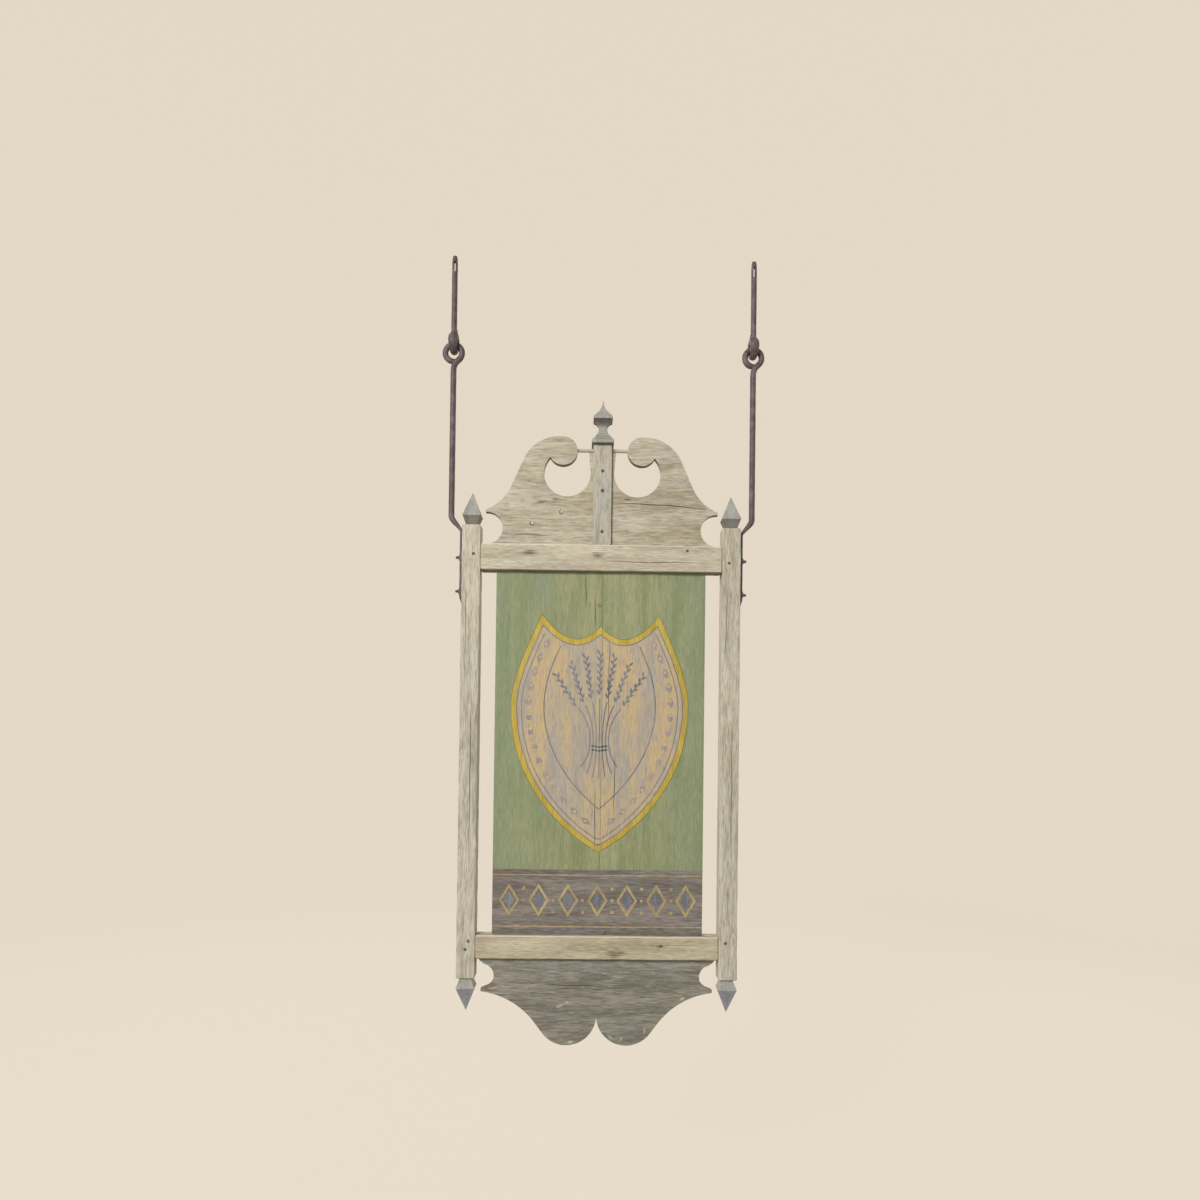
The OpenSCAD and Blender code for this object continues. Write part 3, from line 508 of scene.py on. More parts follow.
def set_shapes(tree, given, points, stand, turn, flat):
    """Ends a tree with its shape at each point, turned on from how it stands and of a chance size, flat or full."""
    shape = add(tree, "GeometryNodeObjectInfo", {"Object": given["Shape"]}).outputs["Geometry"]
    turned = add(tree, "FunctionNodeRotateRotation", {"Rotation": stand, "Rotate By": turn}, rotation_space="LOCAL")
    least = add(tree, "ShaderNodeMath", {0: 1.0, 1: given["Size Spread"]}, operation="SUBTRACT")
    chance = add(tree, "FunctionNodeRandomValue", {2: least, 3: 1.0, "Seed": given["Seed"]}, data_type="FLOAT")
    size = chance.outputs[1]
    if flat:
        size = add(tree, "ShaderNodeCombineXYZ", {0: size, 1: 1.0, 2: size})
    sets = add(tree, "GeometryNodeInstanceOnPoints", {"Points": points, "Instance": shape, "Rotation": turned,
                                                      "Scale": size})
    return close_tree(tree, sets, given["Material"])


def run_tree(tree, source, shape=None, **values):
    """Runs a tree on a mesh, with the shape that it repeats, and gives the result as a plain mesh."""
    keeper = placed("keeper", shape) if shape else None
    holder = placed("holder", source)
    modifier = holder.modifiers.new(tree.name, "NODES")
    modifier.node_group = tree
    for item in tree.interface.items_tree:
        label = item.name.lower().replace(" ", "_")
        if item.in_out == "INPUT" and label in values:
            modifier[item.identifier] = values[label]
        elif item.in_out == "INPUT" and label == "shape":
            modifier[item.identifier] = keeper
    result = plain_mesh(holder)
    if keeper:
        bpy.data.objects.remove(keeper)
    return result


def forged_bar_tree():
    """A bar drawn along a path: its section goes from round to flat by the path's own thick, wide and square."""
    tree, given = new_tree("forged_bar", [("Sides", "Int"), ("Across", "Vector"), ("Hammer Depth", "Float"),
                                          ("Hammer Size", "Float"), ("Material", "Material")])
    path = add(tree, "GeometryNodeMeshToCurve", {"Mesh": given["Geometry"]})
    path = add(tree, "GeometryNodeStoreNamedAttribute", {"Geometry": path, "Name": "centre", "Value": add(
        tree, "GeometryNodeInputPosition")}, data_type="FLOAT_VECTOR")
    path = add(tree, "GeometryNodeStoreNamedAttribute", {"Geometry": path, "Name": "way", "Value": add(
        tree, "GeometryNodeInputTangent")}, data_type="FLOAT_VECTOR")
    ring = add(tree, "GeometryNodeCurvePrimitiveCircle", {"Resolution": given["Sides"], "Radius": 1.0})
    ring = add(tree, "GeometryNodeStoreNamedAttribute", {"Geometry": ring, "Name": "round", "Value": add(
        tree, "GeometryNodeInputPosition")}, data_type="FLOAT_VECTOR")
    skin = add(tree, "GeometryNodeCurveToMesh", {"Curve": path, "Profile Curve": ring, "Fill Caps": True})
    centre, way, turn = [add(tree, "GeometryNodeInputNamedAttribute", {"Name": name}, data_type="FLOAT_VECTOR")
                         for name in ("centre", "way", "round")]
    out = add(tree, "ShaderNodeVectorMath", {0: way, 1: given["Across"]}, operation="CROSS_PRODUCT")
    out = add(tree, "ShaderNodeVectorMath", {0: out}, operation="NORMALIZE")
    turn = add(tree, "ShaderNodeSeparateXYZ", {0: turn})
    power = add(tree, "GeometryNodeInputNamedAttribute", {"Name": "square"}, data_type="FLOAT")
    offset = None
    for part, size, direction in ((turn.outputs[0], "thick", out), (turn.outputs[1], "wide", given["Across"])):
        half = add(tree, "GeometryNodeInputNamedAttribute", {"Name": size}, data_type="FLOAT")
        reach = add(tree, "ShaderNodeMath", {0: part}, operation="ABSOLUTE")
        reach = add(tree, "ShaderNodeMath", {0: reach, 1: power}, operation="POWER")
        sign = add(tree, "ShaderNodeMath", {0: part}, operation="SIGN")
        reach = add(tree, "ShaderNodeMath", {0: reach, 1: sign}, operation="MULTIPLY")
        reach = add(tree, "ShaderNodeMath", {0: reach, 1: half}, operation="MULTIPLY")
        step = add(tree, "ShaderNodeVectorMath", {0: direction, "Scale": reach}, operation="SCALE")
        offset = step if offset is None else add(tree, "ShaderNodeVectorMath", {0: offset, 1: step})
    scale = add(tree, "ShaderNodeMath", {0: 1.0, 1: given["Hammer Size"]}, operation="DIVIDE")
    blows = add(tree, "ShaderNodeTexNoise", {"Scale": scale, "Detail": 1.0})
    dent = add(tree, "ShaderNodeMath", {0: blows, 1: 0.5}, operation="SUBTRACT")
    dent = add(tree, "ShaderNodeMath", {0: dent, 1: given["Hammer Depth"]}, operation="MULTIPLY")
    dent = add(tree, "ShaderNodeVectorMath", {0: add(
        tree, "ShaderNodeVectorMath", {0: offset}, operation="NORMALIZE"), "Scale": dent}, operation="SCALE")
    spot = add(tree, "ShaderNodeVectorMath", {0: centre, 1: offset})
    spot = add(tree, "ShaderNodeVectorMath", {0: spot, 1: dent})
    skin = add(tree, "GeometryNodeSetPosition", {"Geometry": skin, "Position": spot})
    return close_tree(tree, skin, given["Material"])


def fixings_tree():
    """One shape set at each point, its own Z along the point's facing, with a chance turn and size."""
    tree, given = new_tree("fixings", [("Shape", "Object"), ("Size Spread", "Float"), ("Seed", "Int"),
                                       ("Material", "Material")])
    facing = add(tree, "GeometryNodeInputNamedAttribute", {"Name": "facing"}, data_type="FLOAT_VECTOR")
    stand = add(tree, "FunctionNodeAlignRotationToVector", {"Vector": facing}, axis="Z")
    angle = add(tree, "FunctionNodeRandomValue", {2: 0.0, 3: math.tau, "Seed": given["Seed"]}, data_type="FLOAT")
    spin = add(tree, "FunctionNodeAxisAngleToRotation", {"Axis": (0, 0, 1), "Angle": angle.outputs[1]})
    return set_shapes(tree, given, given["Geometry"], stand, spin, False)


def row_tree():
    """One shape repeated along a path in the X-Z plane, leaning to one side and the other in turn."""
    tree, given = new_tree("row", [("Shape", "Object"), ("Spacing", "Float"), ("Lean", "Float"),
                                   ("Size Spread", "Float"), ("Seed", "Int"), ("Material", "Material")])
    path = add(tree, "GeometryNodeMeshToCurve", {"Mesh": given["Geometry"]})
    path = add(tree, "GeometryNodeResampleCurve", {"Curve": path, "Length": given["Spacing"]}, mode="LENGTH")
    way = add(tree, "GeometryNodeInputTangent")
    stand = add(tree, "FunctionNodeAlignRotationToVector", {"Vector": way}, axis="X", pivot_axis="Y")
    odd = add(tree, "ShaderNodeMath", {0: add(tree, "GeometryNodeInputIndex"), 1: 2.0}, operation="MODULO")
    odd = add(tree, "ShaderNodeMath", {0: odd, 1: 2.0, 2: -1.0}, operation="MULTIPLY_ADD")
    angle = add(tree, "ShaderNodeMath", {0: odd, 1: given["Lean"]}, operation="MULTIPLY")
    lean = add(tree, "FunctionNodeAxisAngleToRotation", {"Axis": (0, 1, 0), "Angle": angle})
    return set_shapes(tree, given, path, stand, lean, True)


FORGED_BAR, FIXINGS, ROW = forged_bar_tree(), fixings_tree(), row_tree()
FRONT = (0, -1, 0)


def round_at(x, z, r, y=0.0):
    """A station of a round bar."""
    return [x, y, z, r, r, 1.0]


def bar(stations, across, material, sides=28, closed=False, hammer=(1.1 * MM, 16 * MM)):
    """A bar along stations of [x, y, z, half thickness, half width, squareness from 1 round to 0 square]."""
    count = len(stations)
    edges = [(i, i + 1) for i in range(count - 1)] + ([(count - 1, 0)] if closed else [])
    path = mesh_of([s[:3] for s in stations], [], edges)
    for name, column in (("thick", 3), ("wide", 4), ("square", 5)):
        path.attributes.new(name, "FLOAT", "POINT").data.foreach_set("value", [s[column] for s in stations])
    return run_tree(FORGED_BAR, path, sides=sides, across=across, hammer_depth=hammer[0], hammer_size=hammer[1],
                    material=material)


def fixings(name, shape, places, material, spread, seed, replaced=(), ways=()):
    """A piece made of one shape at several places, which face the front or each its own way."""
    points = mesh_of(places, [])
    flat = [value for way in ways or [FRONT] * len(places) for value in way]
    points.attributes.new("facing", "FLOAT_VECTOR", "POINT").data.foreach_set("vector", flat)
    piece(name, run_tree(FIXINGS, points, shape, size_spread=spread, seed=seed, material=material), material,
          replaced)


def row(name, shape, lines, spacing, material, spread, seed, lean=0.0):
    """A piece of paint made of one shape repeated along several lines of X and Z points."""
    made = []
    for line in lines:
        path = mesh_of([(x, 0, z) for x, z in line], [], [(i, i + 1) for i in range(len(line) - 1)])
        made.append(run_tree(ROW, path, shape, spacing=spacing, lean=lean, size_spread=spread, seed=seed,
                             material=material))
    piece(name, joined(made), material)


# Sawn and hewn wood

def hewn(low, high, along, edge, splits=(), wear=0.5 * MM, step=10 * MM, seed=0.0):
    """A sawn bar or board: eased, nibbled edges, faces a little uneven, and splits that follow the grain.

    Each split is (face, place across, start, end, width, depth); the face is -1 in front and 1 behind.
    """
    axis = "xyz".index(along)
    side = 2 - axis
    half_w, mid_w = (high[side] - low[side]) / 2, (high[side] + low[side]) / 2
    half_d, mid_d = (high.y - low.y) / 2, (high.y + low.y) / 2

    def face_marks(face):
        own = [s for s in splits if s[0] == face]
        count = max(2, round(2 * half_w / step))
        plain = [between(-half_w, half_w, i / count) for i in range(1, count)]
        marks = [(p, None, 0) for p in plain if all(abs(p + mid_w - s[1]) > 6 * MM for s in own)]
        marks += [(s[1] - mid_w + k * 0.01 * MM, s, k) for s in own for k in (-1, 0, 1)]
        return sorted(marks, key=lambda m: m[0])

    def corner(sw, sd, first):
        turns = (0, 45, 90) if first else (90, 45, 0)
        return [("corner", sw, sd, math.radians(a)) for a in turns]

    count_d = max(2, round(2 * half_d / step))
    depths = [between(-half_d, half_d, i / count_d) for i in range(1, count_d)]
    around = corner(-1, -1, True) + [("face", -1) + m for m in face_marks(-1)]
    around += corner(1, -1, False) + [("side", 1, d) for d in depths]
    around += corner(1, 1, True) + [("face", 1) + m for m in reversed(face_marks(1))]
    around += corner(-1, 1, False) + [("side", -1, d) for d in reversed(depths)]

    def spot(mark, s):
        if mark[0] == "corner":
            _, sw, sd, a = mark
            bite = wear * 2.2 * max(0.0, wobble(s / (28 * MM), sw * 3.1 + seed, sd * 2.7) - 0.05)
            w = half_w - edge + edge * math.cos(a) - bite
            d = half_d - edge + edge * math.sin(a) - bite
            return sw * w, sd * d
        if mark[0] == "side":
            _, sw, d = mark
            return sw * (half_w - wear * (0.5 + 0.5 * wobble(d / (40 * MM), s / (120 * MM), seed + sw))), d
        _, face, w, split, k = mark
        d = half_d - wear * (0.5 + 0.5 * wobble(w / (50 * MM), s / (160 * MM), seed + 9 * face))
        if split:
            t = (s - split[2]) / (split[3] - split[2])
            gape = max(math.sin(math.pi * t), 0.0) ** 0.7 if 0 < t < 1 else 0.0
            w = split[1] - mid_w + 2 * MM * wobble(s / (60 * MM), split[1] * 900, 0.0) * ease(4 * gape)
            w += k * (0.05 * MM + gape * split[4] / 2)
            d -= gape * split[5] if k == 0 else 0.0
        return w, face * d

    length = high[axis] - low[axis]
    count = max(4, round(length / step))
    stops = [0.0, edge] + [between(edge, length - edge, i / count) for i in range(1, count)]
    stops += [length - edge, length]
    rings = []
    for i, t in enumerate(stops):
        end = i in (0, len(stops) - 1)
        rings.append([])
        for mark in around:
            w, d = spot(mark, low[axis] + t)
            if end:
                w, d = w * (1 - edge / half_w), d * (1 - edge / half_d)
            at = [0.0, mid_d + d, 0.0]
            at[axis], at[side] = low[axis] + t, mid_w + w
            rings[-1].append(at)
    return skinned(rings)


def eased_copy(node, edge, shortest=1.4 * MM):
    """A copy of a node's mesh with its seams closed and its long sharp edges eased."""
    bm = bmesh.new()
    bm.from_mesh(nodes[node].data)
    bmesh.ops.remove_doubles(bm, verts=bm.verts, dist=0.01 * MM)
    bmesh.ops.dissolve_limit(bm, angle_limit=math.radians(1.5), verts=bm.verts, edges=bm.edges)
    sharp = [e for e in bm.edges if len(e.link_faces) == 2 and e.calc_length() > shortest
             and e.calc_face_angle() > math.radians(40)]
    bmesh.ops.bevel(bm, geom=sharp, offset=edge, offset_type="OFFSET", segments=2, profile=0.6, affect="EDGES",
                    clamp_overlap=True)
    mesh = bpy.data.meshes.new(node)
    bm.to_mesh(mesh)
    bm.free()
    return mesh


def square_turned(x, z, up, profile, corner):
    """A four-sided block cut to a profile of [half width, height], its arrises eased by a corner radius."""
    rings = []
    for half, height in profile:
        r = min(corner, 0.45 * half)
        rings.append([])
        for q, (sx, sy) in enumerate(((1, 1), (-1, 1), (-1, -1), (1, -1))):
            for k in range(3):
                a = math.radians(90 * q + 45 * k)
                rings[-1].append((x + sx * (half - r) + r * math.cos(a), sy * (half - r) + r * math.sin(a),
                                  z + up * height))
    return skinned(rings)


# Frame of posts and rails

EDGE = 1.8 * MM
for side, name in SIDES:
    x0, x1 = sorted((side * POST_IN, side * POST_OUT))
    splits = [(-1, side * POST_MID + 5 * MM, -1.30, -0.86, 1.6 * MM, 4 * MM),
              (-1, side * POST_MID - 11 * MM, -0.80, -0.62, 1.3 * MM, 3 * MM),
              (1, side * POST_MID - 4 * MM, -1.40, -0.70, 1.6 * MM, 4 * MM)]
    mesh = hewn(Vector((x0, post_low.y, post_low.z)), Vector((x1, post_high.y, post_high.z)), "z", EDGE,
                splits, seed=side * 5.0)
    piece(f"{name}_post_worn", mesh, pine_post, [f"{name}_post"])
# The rails get painted shade on their undersides and a painted pale highlight along their upper arrises
for name, wood, low, high, splits in (
        ("top_rail", pine_rail, top_rail_low, top_rail_high,
         [(-1, -0.556, 0.02, 0.25, 1.2 * MM, 3 * MM), (1, -0.541, -0.2, 0.1, 1.4 * MM, 3 * MM)]),
        ("bottom_rail", pine_low_rail, bottom_rail_low, bottom_rail_high,
         [(-1, -1.464, 0.06, 0.26, 1.2 * MM, 3 * MM), (1, -1.475, -0.22, 0.0, 1.4 * MM, 3 * MM)])):
    mesh = hewn(Vector((-POST_IN, low.y, low.z)), Vector((POST_IN, high.y, high.z)), "x", 2.6 * MM, splits,
                seed=low.z)
    piece(f"{name}_worn", mesh, wood, [name], under=0.85, arris_highlight=0.6)

# Panel boards: two wide boards edge to edge, with drying splits near the joint
panel_low, panel_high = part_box("left_panel_board")
PANEL_SPLITS = [mm((-36, -582), (-35, -668)), mm((-14, -632), (-13, -716)), mm((-9, -1090), (-8, -1240)),
                mm((22, -735), (20, -960)), mm((38, -1010), (36, -1160))]
SPLIT_WIDTH, SPLIT_SWAY, SPLIT_DEEP = 1.5 * MM, 1.2 * MM, 3 * MM
for name in ("left", "right"):
    low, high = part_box(f"{name}_panel_board")
    mesh = hewn(low, high, "z", 1.0 * MM, (), wear=0.0, seed=3.0)
    gouges = [gouge(line, SPLIT_SWAY, i, SPLIT_WIDTH, -PANEL_FACE - MM, SPLIT_DEEP - PANEL_FACE)
              for i, line in enumerate(PANEL_SPLITS) if low.x < line[0][0] < high.x]
    piece(f"{name}_panel_painted", cut(mesh, gouges), green_paint, [f"{name}_panel_board"])

# Pediment, centre post and skirt
PEDIMENT_CRACK = mm((31, -411), (114, -415), (178, -418), (257, -425))
PEDIMENT_CHECK = mm((-215, -490), (-120, -493))
gouges = [gouge(line, 1.5 * MM, 4, width, -BOARD_FACE - MM, -BOARD_FACE + 5 * MM)
          for line, width in ((PEDIMENT_CRACK, 2.0 * MM), (PEDIMENT_CHECK, 1.2 * MM))]
# Painted shade darkens the pediment's faces that look down
piece("pediment_worn", cut(eased_copy("pediment_board", 1.2 * MM), gouges), pine_pediment,
      ["pediment_board"], under=0.85)
# A painted shadow along the pediment's foot, where it meets the rail, made of the dark end-grain wood: its half
# length in mm, and its wavering upper edge
SHADOW_LINE_HALF = 240
shade_paint = [(x * MM, RAIL_TOP + (1.9 + 0.9 * wobble(x / 40, 7.0, 1.0)) * MM) for x in range(-SHADOW_LINE_HALF, SHADOW_LINE_HALF + 1, 8)]
shade_paint = [(-SHADOW_LINE_HALF * MM, RAIL_TOP - MM)] + shade_paint + [(SHADOW_LINE_HALF * MM, RAIL_TOP - MM)]
piece("pediment_damp_line", prism(shade_paint, -BOARD_FACE - 0.2 * MM, -BOARD_FACE + 0.4 * MM), pine_end)
piece("centre_post_worn", eased_copy("centre_post", 1.5 * MM), pine_centre, ["centre_post"])
check = gouge(mm((-150, -1560), (40, -1566)), 1.5 * MM, 6, 1.4 * MM, -BOARD_FACE - MM, 4 * MM - BOARD_FACE)
piece("skirt_worn", cut(eased_copy("skirt_board", 1.2 * MM), [check]), pine_skirt, ["skirt_board"])


def flake(x, z, long_half, wide_half, lean, seed):
    """The ragged outline of a place where paint has flaked off, its place and sizes in mm."""
    x, z, long_half, wide_half = [value * MM for value in (x, z, long_half, wide_half)]
    points = []
    for i in range(14):
        a = math.tau * i / 14
        r = 1 + 0.5 * wobble(seed, 2 * math.cos(a), 2 * math.sin(a))
        u, v = long_half * r * math.cos(a), wide_half * r * math.sin(a)
        points.append((x + u * math.cos(lean) - v * math.sin(lean), z + u * math.sin(lean) + v * math.cos(lean)))
    return points


flakes = [flake(*spot, i + 0.5) for i, spot in enumerate((
    (-86, -1611, 10, 3.6, 0.3), (-70, -1604, 5, 2.2, 0.2), (115, -1668, 9, 2.4, 1.5), (60, -1690, 7, 2.4, 1.0),
    (33, -1684, 8, 2.6, -0.7), (-58, -1696, 8, 2.6, 0.1), (-246, -1571, 12, 3.0, 0.1), (205, -1592, 6, 2.2, 0.4)))]
piece("skirt_flakes", joined([prism(outline, -BOARD_FACE - 0.15 * MM, -BOARD_FACE + 0.4 * MM) for outline in flakes]),
      pine_pediment)
scuff = flake(-307, -1464, 9, 1.7, 1.3, 9.5)
piece("left_post_scuff", prism(scuff, post_low.y - 0.1 * MM, post_low.y + 0.6 * MM), nail_paint)

# Finials
FINIAL_FOOT, FINIAL_RIM, RIM_H = 14 * MM, 22 * MM, 23 * MM
POINT_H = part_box("top_left_finial")[1].z - post_high.z
rim_round = 1.2 * MM
post_finial = [[FINIAL_FOOT - MM, 0.0], [FINIAL_FOOT, MM], [FINIAL_RIM - rim_round, RIM_H - 2.6 * rim_round],
               [FINIAL_RIM, RIM_H - rim_round], [FINIAL_RIM, RIM_H + rim_round],
               [FINIAL_RIM - rim_round, RIM_H + 3.2 * rim_round], [0.8 * MM, POINT_H - MM], [0.3 * MM, POINT_H]]
# Painted shade darkens the finials' faces that look down, most on the hanging ones
for name, x, z, up in (("top_left", -POST_MID, post_high.z, 1), ("top_right", POST_MID, post_high.z, 1),
                       ("bottom_left", -POST_MID, post_low.z, -1), ("bottom_right", POST_MID, post_low.z, -1)):
    paint, under = (lead_paint, 0.7) if up > 0 else (lead_low, 1.0)
    piece(f"{name}_finial_painted", square_turned(x, z, up, post_finial, 1.4 * MM), paint,
          [f"{name}_finial"], sharp_deg=18, under=under)

PLINTH, STEP_IN, SHELF, NECK, BLOCK, SPIRE = 26.5 * MM, 4.2 * MM, 16 * MM, 10.2 * MM, 23 * MM, 22 * MM
PLINTH_H, STEP_H, NECK_H, BLOCK_H, SPIRE_H = 10 * MM, 6 * MM, 39 * MM, 6 * MM, 43 * MM
NECK_SHARE = 0.44
neck_z = PLINTH_H + 2 * STEP_H
block_z = neck_z + NECK_H
spire_z = block_z + BLOCK_H
soft, quirk = 0.8 * MM, 1.8 * MM
profile = []
for half, z0, z1 in ((PLINTH, 0.0, PLINTH_H), (PLINTH - STEP_IN, PLINTH_H, PLINTH_H + STEP_H),
                     (PLINTH - 2 * STEP_IN, PLINTH_H + STEP_H, neck_z)):
    profile += [[half - quirk, z0 + 0.05 * MM], [half, z0 + quirk], [half, z1 - soft], [half - soft, z1]]
curve = evenly(16)
profile += [[between(NECK, SHELF, (1 - t) ** 2), between(neck_z, neck_z + NECK_SHARE * NECK_H, t)] for t in curve]
profile += [[between(NECK, BLOCK, t ** 2.4), between(neck_z + NECK_SHARE * NECK_H, block_z, t)] for t in curve[1:]]
profile += [[BLOCK, block_z + soft], [BLOCK, spire_z - soft], [BLOCK - soft, spire_z]]
profile += [[max(SPIRE * (1 - t) ** 1.75, 1.1 * MM), between(spire_z + soft, spire_z + SPIRE_H, t)] for t in curve]
# Painted shade darkens its faces that look down
piece("centre_finial_painted", square_turned(0.0, centre_high.z, 1, profile, 1.2 * MM), lead_paint,
      ["centre_finial"], sharp_deg=18, under=0.75)

# Tie rods: whittled pegs from the rolled ends of the scrolls to the centre post
for side, name in SIDES:
    low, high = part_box(f"{name}_tie_rod")
    mid, r = (low + high) / 2, (high.z - low.z) / 2
    stations = [round_at(between(low.x, high.x, t), mid.z, r, mid.y) for t in evenly(16)]
    piece(f"{name}_tie_rod_whittled", bar(stations, (0, 1, 0), pine_rail, 9, False, (0.8 * MM, 20 * MM)),
          pine_rail, [f"{name}_tie_rod"])


# Irons

ROD_R, RING_BAR_R, RING_R = 7.2 * MM, 7.1 * MM, 20.1 * MM
STRAP_HALF_T, STRAP_HALF_W = 3.25 * MM, 12.5 * MM
CRANK_TOP, STRAP_TOP = -446 * MM, -489 * MM
STRAP_POINT = 15 * MM
EYE_R, EYE_BAR_R = 18 * MM, 8 * MM
EYE_Z = SWING_Z + 2.6 * MM
RING_Z = SWING_Z - RING_R
VOXEL = 1.0 * MM
RING_FROM, RING_TO = math.radians(277), math.radians(-50)
KEY_LOW, KEY_HIGH, KEY_HALF = SHANK_TOP - 40 * MM, SHANK_TOP - 14 * MM, 2.2 * MM


def welded(mesh):
    """Bars forged into one: a single closed skin with softened joints."""
    return modified(mesh, ("REMESH", {"mode": "VOXEL", "voxel_size": VOXEL}),
                    ("SMOOTH", {"factor": 0.5, "iterations": 2}))


def hanger(side):
    """Rod with its end turned round into a ring, cranked in below to a flat strap on the post.

    Both rods bend to the right into their rings, and each ring's own end is closed against the bend.
    """
    rod_x, strap_x = side * ROD_X, side * (POST_OUT + STRAP_HALF_T)
    rod = []
    for i in range(45):
        a = between(RING_FROM, RING_TO, i / 44)
        r = RING_BAR_R * between(0.85, 1.0, ease(i / 5))
        rod.append(round_at(rod_x + RING_R * math.cos(a), RING_Z + RING_R * math.sin(a), r))
    end_x, end_z = rod_x + RING_R * math.cos(RING_TO), RING_Z + RING_R * math.sin(RING_TO)
    low_z = RING_Z - 43 * MM
    bend = bezier((end_x, end_z), (end_x - 9 * MM, end_z - 8 * MM), (rod_x, low_z + 13 * MM), (rod_x, low_z), 14)
    rod += [round_at(x, z, RING_BAR_R) for x, z in bend[1:]]
    rod += [round_at(rod_x, between(low_z, CRANK_TOP, t), ROD_R) for t in evenly(60)[:-1]]
    for t in evenly(24):
        e = ease(t)
        thick = between(ROD_R, STRAP_HALF_T, e)
        rod.append([between(rod_x, strap_x, e), 0.0, between(CRANK_TOP, STRAP_TOP, t), thick,
                    between(ROD_R, STRAP_HALF_W, e), between(1.0, 0.3, e)])
    end = STRAP_LOW + STRAP_POINT
    rod += [[strap_x, 0.0, between(STRAP_TOP, end, t), STRAP_HALF_T, STRAP_HALF_W, 0.3] for t in evenly(30)[1:]]
    for t in evenly(6)[1:]:
        thick = between(STRAP_HALF_T, 1.3 * MM, t)
        rod.append([side * (POST_OUT + thick), 0.0, between(end, STRAP_LOW, t), thick,
                    between(STRAP_HALF_W, 4.5 * MM, t), 0.35])
    return welded(bar(rod, (0, 1, 0), iron))


def eyebolt(side):
    """Eyebolt: a round shank with a key slot near its end, a swollen neck, and an eye lapped back on it."""
    x = side * ROD_X
    eye = []
    for i in range(44):
        a = math.tau * i / 44
        wide = EYE_BAR_R + min(0.8 + 2.5 * (1 + math.sin(a)), 3.3) * MM
        eye.append([x, EYE_R * math.cos(a), EYE_Z + EYE_R * math.sin(a), EYE_BAR_R, wide, 1.0])
    shank = []
    for z, r in ((SHANK_TOP - 0.3 * MM, 4.3), (SHANK_TOP - 2 * MM, 5.2), (SHANK_TOP - 10 * MM, 6.4),
                 (SHANK_TOP - 20 * MM, 6.9), (SHANK_TOP - 52 * MM, 6.9), (0.0, 7.0), (-9 * MM, 9.2),
                 (-17 * MM, 11.4), (-23 * MM, 11.6)):
        if shank:
            top, r0 = shank[-1][2], shank[-1][3]
            steps = max(1, round((top - z) / (4 * MM)))
            shank += [round_at(x, between(top, z, t), between(r0, r * MM, t)) for t in evenly(steps)[1:]]
        else:
            shank.append(round_at(x, z, r * MM))
    lap = [round_at(x - side * between(5.5 * MM, 7 * MM, t), between(-20 * MM, 2 * MM, t),
                    between(6 * MM, 1.5 * MM, t), -4 * MM) for t in evenly(8)]
    whole = joined([bar(line, (1, 0, 0), iron, closed=line is eye) for line in (eye, shank, lap)])
    half_turn = [math.pi * t for t in evenly(8)]
    slot = [(x + KEY_HALF * math.cos(a), KEY_HIGH - KEY_HALF + KEY_HALF * math.sin(a)) for a in half_turn]
    slot += [(x - KEY_HALF * math.cos(a), KEY_LOW + KEY_HALF - KEY_HALF * math.sin(a)) for a in half_turn]
    return cut(welded(whole), [prism(slot, -20 * MM, 20 * MM)])


for side, name in SIDES:
    piece(f"{name}_hanger_forged", hanger(side), iron, [f"{name}_hanger"], sharp_deg=60)
    piece(f"{name}_eyebolt_forged", eyebolt(side), iron, [f"{name}_eyebolt"], "hanging_irons", 60)


def lathed(profile, sides, ragged, seed):
    """A closed shape turned about Z from a profile of [radius, z], its rim a little ragged."""
    rings = []
    for r, z in profile:
        rings.append([])
        for j in range(sides):
            a = math.tau * j / sides
            own = r * (1 + ragged * wobble(3 * math.cos(a), 3 * math.sin(a), seed))
            rings[-1].append((own * math.cos(a), own * math.sin(a), z))
    return skinned(rings)


def rose_nail(length):
    """Hand-made nail: a head hammered to a few facets on a short square shank of a length in mm."""
    return lathed(mm((1.2, -length), (1.6, 2 - length), (1.6, 0), (4.2, 0.1), (4.25, 0.7), (2.9, 1.6), (1.0, 2.2)),
                  7, 0.14, 2.0)


pediment_nails = [(x * MM, -BOARD_FACE, RAIL_TOP + z * MM) for x, z in ((-96, 80), (-166, 52))]
fixings("pediment_nail_heads", rose_nail(20), pediment_nails, nail_paint, 0.1, 3, replaced=["pediment_nails"])
centre_nails = [(0.0, -centre_high.y, RAIL_TOP + z * MM) for z in (32, 130, 177)]
fixings("centre_post_nail_heads", rose_nail(30), centre_nails, iron, 0.1, 5, replaced=["centre_post_nails"])
stray_nails = [(204 * MM, -RAIL_FACE, -527 * MM), (151 * MM, -RAIL_FACE, -1465 * MM),
               (17 * MM, -PANEL_FACE, -1438 * MM), (-311 * MM, post_low.y, -1477 * MM)]
fixings("stray_nail_heads", rose_nail(14), stray_nails, iron, 0.3, 8)
panel_nail = [(-1 * MM, -PANEL_FACE, -657 * MM)]
fixings("panel_nail_head", rose_nail(14), panel_nail, green_paint, 0.1, 9)
# A dark disc under each painted nail head, set a little off centre: a painted shadow ring round the head
head_shadow = lathed(mm((6.0, -0.3), (5.9, 0.05), (5.4, 0.15)), 14, 0.16, 12.0)
shadowed_heads = [(x - 1.2 * MM, y, z - 0.6 * MM) for x, y, z in pediment_nails + panel_nail]
fixings("nail_stains", head_shadow, shadowed_heads, pine_end, 0.1, 21)

